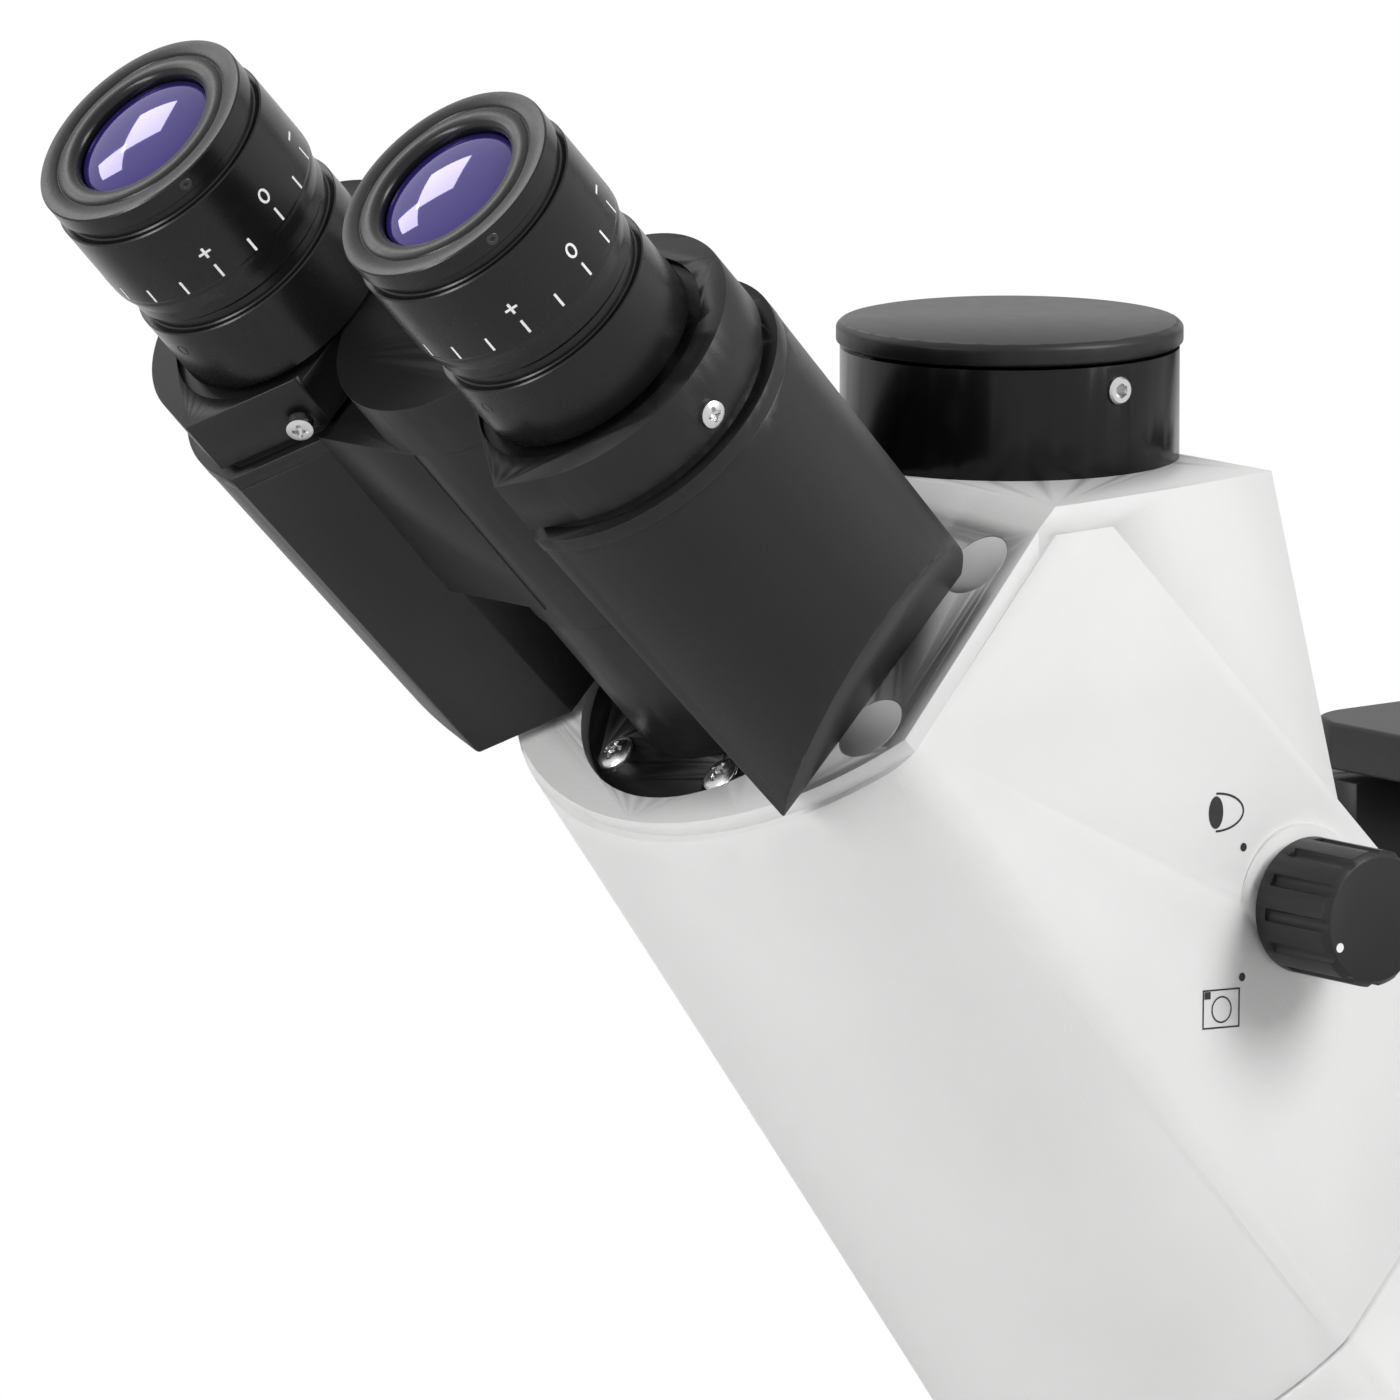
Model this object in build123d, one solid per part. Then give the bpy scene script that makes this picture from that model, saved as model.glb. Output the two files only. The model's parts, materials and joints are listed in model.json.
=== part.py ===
from build123d import *
import os
from math import acos, atan2, cos, degrees, radians, sin, sqrt, tan

os.makedirs("parts", exist_ok=True)

# Trinocular inverted microscope, millimetres. +Z is up, -Y faces the user, +X is the user's right.
# The origin is on the bench, under the middle of the whole instrument.

# Fits and gaps
RUNNING = 0.05          # radial clearance of a shaft or slide that turns or runs
SEAT = 0.02             # clearance of a spigot that stays put
GAP = 0.3               # free gap between pieces that move past each other

# Head: every height here is measured along the hinge axis from its foot on the head seat
TUBE_ANGLE = 46.0       # of the eyepieces above the bench
HEAD_HEIGHT = 275.0     # of the hinge foot above the bench
HEAD_TO_REAR = 490.0    # from the hinge foot back to the rear of the base
EYE_X = 37.75           # eyepiece axis from the middle plane, at an eye distance of 75.5
EYE_S = -5.0            # eyepiece axis down the slope from the hinge
SEAT_TOP = 3.5          # face of the white head seat
SEAT_THICK = 3.0
FLANGE_R = 30.0
FLANGE_TOP = 1.7
FLANGE_THICK = 3.2
FLANGE_SCREWS = 6
SCREW_CIRCLE_R = 26.0
SCREW_HEAD_R = 3.2
SHAFT_R = 20.9          # fixed hinge shaft
SHAFT_TOP = 33.0
SPIGOT_R = 18.0
PIN_R = 12.0            # hollow hinge pin that both arms turn on
PIN_TOP = 82.7
LIGHT_R = 9.0           # light passage along the hinge
SLEEVE_R = 21.3         # left arm's sleeve, under the right arm's knuckle
SLEEVE_TOP = 75.0
KNUCKLE_R = 21.5
KNUCKLE_BOTTOM = 75.2
WEB_BOTTOM = 38.0
WEB_FRONT = -21.5
WEB_CLEAR_X = 22.4      # the left cap ends here, clear of the right arm's web when closed up
CAP_BOTTOM = 76.0       # collar cap round the eyepiece tube
CAP_TOP = 86.0
CAP_R = 24.7
CAP_CORNER = (38.4, -31.2)
CAP_INNER = (26.6, -22.1)
NECK_R = 23.5           # black groove under the cap
RING_BOTTOM = 71.2      # casting rim over the prism cover
RING_TOP = 73.9
RING_R = 26.2
COVER_BOTTOM = 5.5
COVER_TOP_R = 26.1
COVER_LOW_R = 24.6
COVER_INNER_X = 24.0
COVER_WALL = 2.0
DIAGONAL = 38.0         # angle of the inner front face that lets the arms close up
PRISM_SIDE = 20.0
PRISM_LOW = 28.0
COLLAR_SCREW_R = 2.1
COLLAR_SCREW_HEIGHT = 78.8

# Eyepiece
TUBE_R = 18.4
TUBE_LOW = 86.4         # just clear of the other arm's knuckle
TUBE_TOP = 99.5
TUBE_BORE = 12.5
TUBE_SPIGOT_R = 15.2
MOUTH_R = 20.0
MOUTH_DEPTH = 1.2
GROOVE_R = 17.2
GROOVE_TOP = 101.5
STUB_R = 14.0           # the part of the barrel that the dioptre ring turns on
STUB_TOP = 112.5
RING_LOW_R = 17.8
RING_GRIP_R = 18.8
RING_TAPER = (104.0, 106.5)
RING_SHOULDER = 121.0
RING_NECK_R = 17.6
RING_NECK_TOP = 123.0
EYE_TOP = 126.4
EYE_OPENING_R = 11.8
EYE_LENS_R = 13.0
EYE_LENS_LOW = 117.0
EYE_LIP = 124.0
EYE_STOP_R = 12.0
EYE_STOP_LOW = 113.0

# White housing: the arm's section is square to the hinge axis
ARM_HALF = 48.6         # half width at the front of the side panels
ARM_REAR_HALF = 44.0
ARM_REAR = 41.7         # up the slope from the hinge
ARM_FRONT = -36.3       # at the head seat
ARM_FRONT_LEAN = 0.141  # how far the front moves out for each mm down
ARM_CORNER = -12.4
ARM_CORNER_LEAN = 0.047
ARM_SEAM = 135.5        # joint with the lower housing, down from the hinge foot
ARM_LENGTH = 360.0
ARM_LEAN_END = 225.0    # the front runs straight on below this
ARM_WALL = 4.0
ARM_CAVITY_HALF = 38.0
ARM_EDGE_R = 9.0
SEAM_GAP = 0.6
SEAT_FRONT = -35.0
SEAT_CORNER = -10.5
PARTING = SEAT_TOP - SEAT_THICK
TOP_LEVEL = 27.6        # flat top behind the seat, above the hinge foot
TOP_PARTING = 23.2
BLOCK_REAR = 73.0       # rear of the flat top, behind the hinge foot
BLOCK_SLOPE = 17.0      # lean of its rear wall
BLOCK_REAR_HALF = 34.0
BLOCK_FRONT_HALF = 44.4
SEAT_BOSS_R = 31.5
SEAT_BOSS_LOW = -6.0
PLUG_R = 5.8
PLUG_PLACES = ((36.5, 23.0), (39.5, -9.7))
PLUG_DEPTH = 1.5

# Camera port
PORT_BACK = 51.3        # axis behind the hinge foot
PORT_R = 26.7
PORT_TOP = 45.0
PORT_BORE = 22.0
PORT_FILLET = 4.0
PORT_CAP_R = 27.3
PORT_CAP_TOP = 49.1
PORT_CAP_RIM = 3.2
PORT_PLUG_DEPTH = 8.0
PORT_SCREW_R = 2.2
PORT_SCREW_HEIGHT = 41.0
BEAM_R = 14.0

# Light path knob, on the right side
KNOB_BACK = 72.5
KNOB_DOWN = 39.9
KNOB_R = 10.8
KNOB_LENGTH = 17.5
KNOB_FLUTES = 12
KNOB_FLUTE_R = 1.1
KNOB_BOSS_R = 12.5
KNOB_BOSS_HEIGHT = 1.2
KNOB_SHAFT_R = 4.0
BEAM_PRISM = 18.0

# Base, body and feet
BASE_FRONT = 20.0       # behind the hinge foot
BASE_WIDTH = 230.0
BASE_TOP = 42.0
BASE_WALL = 4.0
BASE_CORNER_R = 28.0
PLATE_THICK = 2.0
FOOT_HEIGHT = 4.0
FOOT_R = 12.0
BODY_HALF = 78.0
BODY_FRONT = 150.0
BODY_DECK = 128.0       # above the bench
BODY_WALL = 6.0
TOWER_FRONT = 378.0
TOWER_REAR = 428.0
PATH_HEIGHT = 60.0      # level light path between the two mirrors
MIRROR_HALF = 17.0
MIRROR_THICK = 3.0
TUBE_LENS_DOWN = 120.0
TUBE_LENS_R = 15.0

# Stage
OBJECTIVE_BACK = 306.0  # objective axis behind the hinge foot
STAGE_DROP = 43.4       # stage face below the hinge foot
STAGE_FRONT = 201.0
STAGE_WIDTH = 210.0
STAGE_DEPTH = 225.0
STAGE_THICK = 8.0
STAGE_CORNER_R = 10.0
STAGE_HOLE_R = 50.0
INSERT_R = 55.0
INSERT_THICK = 3.0
INSERT_HOLE_R = 14.0
FRAME_DEPTH = 16.0
FRAME_RAIL = 16.0
SPACER = 1.6
GUIDE_WIDTH = 8.0
CARRIAGE_LENGTH = 40.0
CARRIAGE_OUT = 30.0
RAIL_BACK = 361.0
RAIL_WIDTH = 10.0
RAIL_HEIGHT = 8.0
RAIL_LEFT = -95.0
HOLDER_LENGTH = 124.0
HOLDER_DEPTH = 86.0
HOLDER_BAR = 9.0
HOLDER_THICK = 3.0
STAGE_KNOB_X = 124.0

# Nosepiece
PARFOCAL_DROP = 44.6    # objective shoulder below the stage face
TURRET_TILT = 20.0
TURRET_PITCH_R = 30.0
TURRET_R = 46.0
TURRET_THICK = 16.0
TURRET_PLACES = 5
TURRET_PIVOT_R = 6.0
CARRIER_R = 42.0
CARRIER_THICK = 8.0
OBJECTIVE_R = 13.2
THREAD_R = 10.2
OBJECTIVES = {"objective_4x": (30.0, 9.5), "objective_10x": (36.0, 8.0),
              "objective_20x": (39.0, 7.0), "objective_40x": (40.0, 6.0)}
SLIDE_HALF = 25.0
SLIDE_THICK = 11.0

# Focus
FOCUS_BACK = 345.0
FOCUS_HEIGHT = 85.0
COARSE_R = 30.0
COARSE_WIDTH = 24.0
COARSE_SHAFT_R = 10.0
FINE_SHAFT_R = 6.0
FINE_R = 16.0
KNOB_REACH = 140.0      # half of the width over the fine knobs

# Illumination
PILLAR_FRONT = 434.0
PILLAR_DEPTH = 44.0
PILLAR_HALF = 30.0
PILLAR_TOP = 470.0
LAMP_ARM_HALF = 31.0
LAMP_ARM_FRONT = 268.0
LAMP_ARM_HEIGHT = 46.0
LAMP_HOUSE_HALF = 39.0
LAMP_HOUSE_FRONT = 412.0
LAMP_HOUSE_TOP = 530.0
FIELD_R = 25.0
FIELD_DROP = 34.0
CONDENSER_R = 28.0
WORKING_DISTANCE = 72.0
BRACKET_THICK = 14.0
CONDENSER_LENGTH = 96.0

# Electrics
DIAL_R = 12.0
DIAL_BACK = 70.0
DIAL_LENGTH = 12.0
ROCKER_TILT = 10.0      # off position

# Places worked out from the sizes above
FRONT_REACH = EYE_TOP * cos(radians(TUBE_ANGLE)) + (TUBE_R - EYE_S) * sin(radians(TUBE_ANGLE))
HEAD_Y = (FRONT_REACH - HEAD_TO_REAR) / 2
HEAD = Pos(0, HEAD_Y, HEAD_HEIGHT) * Rot(90 - TUBE_ANGLE, 0, 0)
RIGHT_EYE = Pos(EYE_X, EYE_S, 0)
REAR_Y = HEAD_Y + HEAD_TO_REAR
PORT_Y = HEAD_Y + PORT_BACK
OBJECTIVE_Y = HEAD_Y + OBJECTIVE_BACK
STAGE_Z = HEAD_HEIGHT - STAGE_DROP
STAGE_UNDER = STAGE_Z - STAGE_THICK
FRAME_TOP = STAGE_UNDER - SPACER
FRAME_LOW = FRAME_TOP - FRAME_DEPTH
SHOULDER_Z = STAGE_Z - PARFOCAL_DROP
BASE_LOW = FOOT_HEIGHT + PLATE_THICK
MIRROR_FRONT_Y = HEAD_Y + (HEAD_HEIGHT - PATH_HEIGHT) / tan(radians(TUBE_ANGLE))


def rod(radius, low, high):
    """A cylinder along Z between two heights."""
    return Pos(0, 0, low) * Cylinder(radius, high - low, align=(Align.CENTER, Align.CENTER, Align.MIN))


def pipe(outer, inner, low, high):
    return rod(outer, low, high) - rod(inner, low, high)


def block(x0, x1, y0, y1, z0, z1):
    return Pos(x0, y0, z0) * Box(x1 - x0, y1 - y0, z1 - z0, align=Align.MIN)


def turned(points):
    """A solid turned about Z from (radius, height) points."""
    return revolve(make_face(Polyline(*[(r, 0, z) for r, z in points], close=True)), Axis.Z)


def side_cut(points, half):
    """A (back, height) outline in the middle plane, as thick as half to each side."""
    face = make_face(Polyline(*[(0, y, z) for y, z in points], close=True))
    return extrude(face, half, dir=(1, 0, 0), both=True)


def flat(outline, low, high):
    return Pos(0, 0, low) * extrude(outline, high - low)


def lens(radius, low, high, dome):
    """A lens with a flat underside and a domed top."""
    curve = (radius ** 2 + dome ** 2) / (2 * dome)
    return rod(radius, low, high + dome) & Pos(0, 0, high + dome - curve) * Sphere(curve)


def along_x(shape):
    """Lays a solid that was turned about Z along +X."""
    return Rot(0, 90, 0) * shape


def fluted(solid, radius, flutes, flute_r, low, high):
    for place in PolarLocations(radius, flutes):
        solid -= place * rod(flute_r, low, high)
    return solid


def save(name, shape):
    export_step(shape, f"parts/{name}.step")


def both_sides(name, shape):
    """Writes a right-hand piece and its mirror image."""
    save("right_" + name, shape)
    save("left_" + name, mirror(shape, Plane.YZ))


# Head arms, in the head's own frame: X, up the slope, along the hinge axis

def in_front_of_diagonal():
    """The ground in front of the arm's inner diagonal face."""
    corner, inner = Vector(*CAP_CORNER), Vector(*CAP_INNER)
    run = (corner - inner).normalized()
    out = Vector(run.Y, -run.X)
    reach = 3 * CAP_R
    ends = [corner + run * reach, inner - run * reach]
    return Polygon(*[(p.X, p.Y) for p in (*ends, ends[1] + out * reach, ends[0] + out * reach)], align=None)


def cap_outline():
    """Collar seen along the eyepiece: a circle with one sharp front corner and the diagonal face."""
    to_corner = Vector(*CAP_CORNER) - Vector(EYE_X, EYE_S)
    angle = atan2(to_corner.Y, to_corner.X) + acos(CAP_R / to_corner.length)
    tangent = (EYE_X + CAP_R * cos(angle), EYE_S + CAP_R * sin(angle))
    nose = Polygon(CAP_CORNER, tangent, (EYE_X, EYE_S), CAP_INNER, align=None)
    return RIGHT_EYE * Circle(CAP_R) + nose - in_front_of_diagonal()


def cap_web(inner_x):
    """The flat web from the collar towards the hinge."""
    back = EYE_S + CAP_R * 0.85
    points = ((inner_x, CAP_INNER[1]), CAP_INNER, (EYE_X, EYE_S), (EYE_X, back), (inner_x, -WEB_FRONT - 2))
    return Polygon(*points, align=None)


def cover_outline(radius, inset=0.0):
    """Prism cover: round outside, a diagonal front face and a flat inner wall beside the hinge."""
    round_r = radius - inset
    inner_x = COVER_INNER_X + inset
    corner = Vector(EYE_X, EYE_S - round_r - 0.2)
    start = Vector(EYE_X + 3, EYE_S - sqrt(round_r ** 2 - 9))
    inner = Vector(inner_x, corner.Y + (corner.X - inner_x) * tan(radians(DIAGONAL)))
    back = Vector(inner_x, EYE_S + sqrt(round_r ** 2 - (EYE_X - inner_x) ** 2))
    outside = ThreePointArc(start, (EYE_X + round_r, EYE_S), back)
    return make_face([outside, Line(back, inner), Line(inner, corner), Line(corner, start)])


def cover_body(inset, low, high):
    """The cover's outer or inner form, drafted, with the 45 degree cut under its outer side."""
    top = Pos(0, 0, high) * cover_outline(COVER_TOP_R, inset)
    body = loft([Pos(0, 0, low) * cover_outline(COVER_LOW_R, inset), top], ruled=True)
    reach = 2 * COVER_TOP_R
    rise = inset * sqrt(2) - inset
    wedge = [(EYE_X, low + rise), (EYE_X + reach, low + rise + reach), (EYE_X + reach, low - reach),
             (EYE_X, low - reach)]
    face = make_face(Polyline(*[(x, 0, z) for x, z in wedge], close=True))
    return body - extrude(face, reach, dir=(0, 1, 0), both=True)


def prism_cover():
    shell = cover_body(0, COVER_BOTTOM, RING_BOTTOM)
    return shell - cover_body(COVER_WALL, COVER_BOTTOM + COVER_WALL, RING_BOTTOM)


def arm_head():
    """Collar, groove and rim of one arm, without its hinge part."""
    body = flat(cap_outline(), CAP_BOTTOM, CAP_TOP)
    body += flat(cover_outline(NECK_R), RING_TOP, CAP_BOTTOM)
    body += flat(cover_outline(RING_R), RING_BOTTOM, RING_TOP)
    return body


def eye_bores(body):
    """The tube's seat, the groove round its mouth and the light hole under it."""
    body -= RIGHT_EYE * rod(TUBE_SPIGOT_R + SEAT, CAP_BOTTOM, CAP_TOP)
    body -= RIGHT_EYE * rod(MOUTH_R, CAP_TOP - MOUTH_DEPTH, CAP_TOP)
    return body - RIGHT_EYE * rod(STUB_R - 2, RING_BOTTOM, CAP_BOTTOM)


def collar_screw_place(angle):
    """Frame of a collar screw: +Z points out of the collar."""
    return RIGHT_EYE * Pos(0, 0, COLLAR_SCREW_HEIGHT) * Rot(0, 0, angle) * Pos(CAP_R, 0, 0) * Rot(0, 90, 0)


def right_arm_casting():
    body = arm_head() + flat(cap_web(0) - in_front_of_diagonal(), CAP_BOTTOM, CAP_TOP)
    body += rod(KNUCKLE_R, KNUCKLE_BOTTOM, CAP_TOP)
    body -= rod(PIN_R + RUNNING, KNUCKLE_BOTTOM, PIN_TOP + GAP)
    body -= collar_screw_place(-3.5) * rod(COLLAR_SCREW_R + SEAT, -1.2, 2)
    return eye_bores(body)


def left_arm_casting():
    """Drawn on the right and mirrored: its sleeve runs under the other arm's knuckle."""
    body = arm_head() + flat(cap_web(WEB_CLEAR_X) - in_front_of_diagonal(), CAP_BOTTOM, CAP_TOP)
    body -= block(0, WEB_CLEAR_X, -CAP_R * 2, CAP_R * 2, SLEEVE_TOP, CAP_TOP)
    body += rod(SLEEVE_R, SHAFT_TOP + GAP, SLEEVE_TOP)
    body += block(0, COVER_INNER_X, WEB_FRONT, -WEB_FRONT - 4, WEB_BOTTOM, SLEEVE_TOP)
    body -= rod(PIN_R + RUNNING, SHAFT_TOP, SLEEVE_TOP)
    body -= collar_screw_place(-128) * rod(COLLAR_SCREW_R + 1.6, -3.4, 8)
    return mirror(eye_bores(body), Plane.YZ)


def arm_prism():
    """Glass prism that hangs under the rim and turns the beam up into the eyepiece."""
    half = PRISM_SIDE / 2
    points = [(EYE_X - half, RING_BOTTOM), (EYE_X + half, RING_BOTTOM), (EYE_X + half, PRISM_LOW + PRISM_SIDE),
              (EYE_X - half, PRISM_LOW)]
    face = make_face(Polyline(*[(x, EYE_S, z) for x, z in points], close=True))
    return extrude(face, half, dir=(0, 1, 0), both=True)


def eyepiece_tube():
    body = RIGHT_EYE * turned([(TUBE_BORE, CAP_BOTTOM), (TUBE_SPIGOT_R, CAP_BOTTOM), (TUBE_SPIGOT_R, TUBE_LOW),
                               (TUBE_R, TUBE_LOW), (TUBE_R, TUBE_TOP),
                               (GROOVE_R, TUBE_TOP), (GROOVE_R, GROOVE_TOP), (STUB_R, GROOVE_TOP),
                               (STUB_R, STUB_TOP), (TUBE_BORE, STUB_TOP)])
    hole = RIGHT_EYE * Pos(0, -TUBE_R, TUBE_TOP - 4) * Rot(90, 0, 0) * rod(1.1, -2, 1)
    return body - hole


def dioptre_ring():
    """Grip, neck and top flange of the eyepiece, bored for the stub and the eye lens."""
    outside = [(RING_LOW_R, GROOVE_TOP + GAP), (RING_LOW_R, RING_TAPER[0]), (RING_GRIP_R, RING_TAPER[1]),
               (RING_GRIP_R, RING_SHOULDER), (RING_NECK_R, RING_SHOULDER), (RING_NECK_R, RING_NECK_TOP),
               (TUBE_R, RING_NECK_TOP), (TUBE_R, EYE_TOP - 1), (TUBE_R - 1, EYE_TOP)]
    inside = [(EYE_OPENING_R, EYE_TOP), (EYE_OPENING_R, EYE_LIP), (EYE_LENS_R + SEAT, EYE_LIP),
              (EYE_LENS_R + SEAT, EYE_LENS_LOW), (EYE_STOP_R, EYE_LENS_LOW), (EYE_STOP_R, EYE_STOP_LOW),
              (STUB_R + RUNNING, EYE_STOP_LOW), (STUB_R + RUNNING, GROOVE_TOP + GAP)]
    return RIGHT_EYE * turned(outside + inside)


def make_head():
    both_sides("prism_cover", HEAD * prism_cover())
    both_sides("arm_prism", HEAD * arm_prism())
    both_sides("eyepiece_tube", HEAD * eyepiece_tube())
    both_sides("dioptre_ring", HEAD * dioptre_ring())
    both_sides("eye_lens", HEAD * RIGHT_EYE * lens(EYE_LENS_R, EYE_LENS_LOW, EYE_LIP - 3.4, 3.0))
    save("right_arm_casting", HEAD * right_arm_casting())
    save("left_arm_casting", HEAD * left_arm_casting())
    shaft = turned([(LIGHT_R, -12), (SPIGOT_R, -12), (SPIGOT_R, FLANGE_TOP), (SHAFT_R, FLANGE_TOP),
                    (SHAFT_R, SHAFT_TOP), (PIN_R, SHAFT_TOP), (PIN_R, PIN_TOP), (LIGHT_R, PIN_TOP)])
    save("hinge_shaft", HEAD * shaft)
    flange = pipe(FLANGE_R, SPIGOT_R + SEAT, FLANGE_TOP - FLANGE_THICK, FLANGE_TOP)
    screws = []
    for place in PolarLocations(SCREW_CIRCLE_R, FLANGE_SCREWS):
        flange -= place * rod(SCREW_HEAD_R + SEAT, FLANGE_TOP - 1.4, FLANGE_TOP)
        screws.append(place * rod(SCREW_HEAD_R, FLANGE_TOP - 1.4, FLANGE_TOP + 0.6))
    save("head_flange", HEAD * flange)
    save("flange_screws", HEAD * (Part() + screws))


# White housing

def arm_section(down, inset=0.0):
    """Section of the arm square to the hinge axis: a round front, flat sides and a flat back."""
    reach = min(down, ARM_LEAN_END)
    front = ARM_FRONT - ARM_FRONT_LEAN * reach + inset
    corner = ARM_CORNER - ARM_CORNER_LEAN * reach
    half = ARM_HALF if inset == 0 else ARM_CAVITY_HALF
    rear_half = ARM_REAR_HALF if inset == 0 else ARM_CAVITY_HALF - 1
    rear = ARM_REAR - inset
    arc = ThreePointArc((-half, corner), (0, front), (half, corner))
    sides = Polyline((half, corner), (rear_half, rear), (-rear_half, rear), (-half, corner))
    face = make_face([arc, *sides.edges()])
    if inset == 0:
        face = fillet(face.vertices().group_by(Axis.Y)[0], ARM_EDGE_R)
    return Pos(0, 0, PARTING - down) * face


def arm_body(start, end, inset=0.0):
    """The arm between two distances down the slope; its front leans out only as far as the lean's end."""
    places = [start, end] if end <= ARM_LEAN_END else [start, ARM_LEAN_END, end]
    return HEAD * loft([arm_section(down, inset) for down in places], ruled=True)


def above(level):
    """Everything above a world height."""
    return block(-300, 300, -600, 600, level, 1000)


def below(level):
    return block(-300, 300, -600, 600, -300, level)


def arm_housing():
    body = arm_body(0, ARM_SEAM) - arm_body(-1, ARM_SEAM + 1, ARM_WALL)
    body -= above(HEAD_HEIGHT + TOP_PARTING)
    knob = Pos(0, HEAD_Y + KNOB_BACK, HEAD_HEIGHT - KNOB_DOWN) * along_x(rod(KNOB_SHAFT_R + RUNNING, 0, 80))
    boss = Pos(0, HEAD_Y + KNOB_BACK, HEAD_HEIGHT - KNOB_DOWN)
    boss = boss * along_x(rod(KNOB_BOSS_R, ARM_CAVITY_HALF + 1, knob_face() - KNOB_BOSS_HEIGHT / 2))
    body = body + boss - knob
    return body - beam_well()


def knob_face():
    """Where the light path knob's boss ends, from the middle plane."""
    up_slope = KNOB_BACK * sin(radians(TUBE_ANGLE)) - KNOB_DOWN * cos(radians(TUBE_ANGLE))
    share = (up_slope - ARM_CORNER) / (ARM_REAR - ARM_CORNER)
    return ARM_HALF + (ARM_REAR_HALF - ARM_HALF) * share + KNOB_BOSS_HEIGHT


def beam_well():
    """Upright light passage to the camera port."""
    return Pos(0, PORT_Y, 0) * rod(BEAM_R, HEAD_HEIGHT - 60, HEAD_HEIGHT + TOP_LEVEL + 1)


def top_profile():
    """Side view of the top cover, relative to the hinge foot."""
    s, c = sin(radians(TUBE_ANGLE)), cos(radians(TUBE_ANGLE))
    lean = tan(radians(BLOCK_SLOPE))
    bend = (TOP_LEVEL - SEAT_TOP * s) / c
    step = (TOP_PARTING - PARTING * s) / c
    down = (BLOCK_REAR + lean * TOP_LEVEL - ARM_REAR * (s + lean * c)) / (c - lean * s)
    drop = (TOP_PARTING - ARM_REAR * c) / s
    places = [(SEAT_FRONT - 4, SEAT_TOP), (bend, SEAT_TOP)]
    points = [(a * s - h * c, a * c + h * s) for a, h in places]
    points.append((BLOCK_REAR, TOP_LEVEL))
    lower = [(ARM_REAR, -down), (ARM_REAR, drop), (step, PARTING), (SEAT_FRONT - 4, PARTING)]
    return points + [(a * s - h * c, a * c + h * s) for a, h in lower]


def top_cover():
    """Sloping head seat with the flat-topped block behind it that carries the camera port."""
    profile = side_cut([(HEAD_Y + y, HEAD_HEIGHT + z) for y, z in top_profile()], ARM_HALF)
    front = ThreePointArc((-ARM_HALF, SEAT_CORNER), (0, SEAT_FRONT), (ARM_HALF, SEAT_CORNER))
    bend = ARM_REAR - 2
    sides = Polyline((ARM_HALF, SEAT_CORNER), (BLOCK_FRONT_HALF, bend - 8), (BLOCK_FRONT_HALF, 2 * bend),
                     (-BLOCK_FRONT_HALF, 2 * bend), (-BLOCK_FRONT_HALF, bend - 8), (-ARM_HALF, SEAT_CORNER))
    seat = HEAD * flat(make_face([front, *sides.edges()]), -100, SEAT_TOP)
    rear = BLOCK_REAR + 22
    plan = Polygon((-BLOCK_FRONT_HALF, -60), (BLOCK_FRONT_HALF, -60), (BLOCK_FRONT_HALF, 28), (42.0, 50),
                   (BLOCK_REAR_HALF, rear), (-BLOCK_REAR_HALF, rear), (-42.0, 50), (-BLOCK_FRONT_HALF, 28),
                   align=None)
    rear_form = Pos(0, HEAD_Y, HEAD_HEIGHT) * flat(plan, -60, TOP_LEVEL)
    behind = block(-60, 60, HEAD_Y + 20, HEAD_Y + 200, 0, 1000)
    body = (profile & seat) - behind
    body += profile & rear_form & behind
    body = body + HEAD * rod(SEAT_BOSS_R, SEAT_BOSS_LOW, PARTING)
    body -= HEAD * rod(FLANGE_R + 0.2, FLANGE_TOP - FLANGE_THICK, SEAT_TOP + 1)
    body -= HEAD * rod(SPIGOT_R + SEAT, SEAT_BOSS_LOW - 1, SEAT_TOP)
    body += Pos(0, PORT_Y, HEAD_HEIGHT + TOP_LEVEL) * turned(
        [(PORT_BORE, 0), (PORT_R + PORT_FILLET, 0), (PORT_R + 1.2, PORT_FILLET * 0.35),
         (PORT_R + SEAT, PORT_FILLET), (PORT_R + SEAT, -3), (PORT_BORE, -3)])
    body -= Pos(0, PORT_Y, 0) * rod(PORT_R + SEAT, HEAD_HEIGHT + TOP_LEVEL - 3, HEAD_HEIGHT + TOP_LEVEL + 6)
    body -= beam_well()
    for x, s in PLUG_PLACES:
        for side in (-x, x):
            body -= HEAD * Pos(side, s, 0) * rod(PLUG_R + SEAT, SEAT_TOP - PLUG_DEPTH, SEAT_TOP)
    return body


def make_housing():
    save("arm_housing", arm_housing())
    save("top_cover", top_cover())
    plugs = [HEAD * Pos(side, s, 0) * rod(PLUG_R, SEAT_TOP - PLUG_DEPTH, SEAT_TOP)
             for x, s in PLUG_PLACES for side in (-x, x)]
    save("cover_plugs", Part() + plugs)


# Camera port

def make_port():
    place = Pos(0, PORT_Y, HEAD_HEIGHT)
    tube = pipe(PORT_R, PORT_BORE, TOP_LEVEL - 3, PORT_TOP)
    side = Pos(0, 0, PORT_SCREW_HEIGHT)
    tube -= side * along_x(rod(PORT_SCREW_R + SEAT, PORT_BORE - 2, PORT_R + 2))
    save("camera_port_tube", place * tube)
    rim = PORT_CAP_TOP - PORT_CAP_RIM
    under = PORT_TOP + GAP
    plug_r = PORT_BORE - 2 * RUNNING
    cap = turned([(0, PORT_CAP_TOP), (PORT_CAP_R - 0.8, PORT_CAP_TOP), (PORT_CAP_R, PORT_CAP_TOP - 0.8),
                  (PORT_CAP_R, rim), (PORT_R - 0.6, under), (plug_r, under), (plug_r, under - PORT_PLUG_DEPTH),
                  (plug_r - 2, under - PORT_PLUG_DEPTH), (plug_r - 2, rim), (0, rim)])
    save("port_cap", place * cap)


# Light path selector

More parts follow.
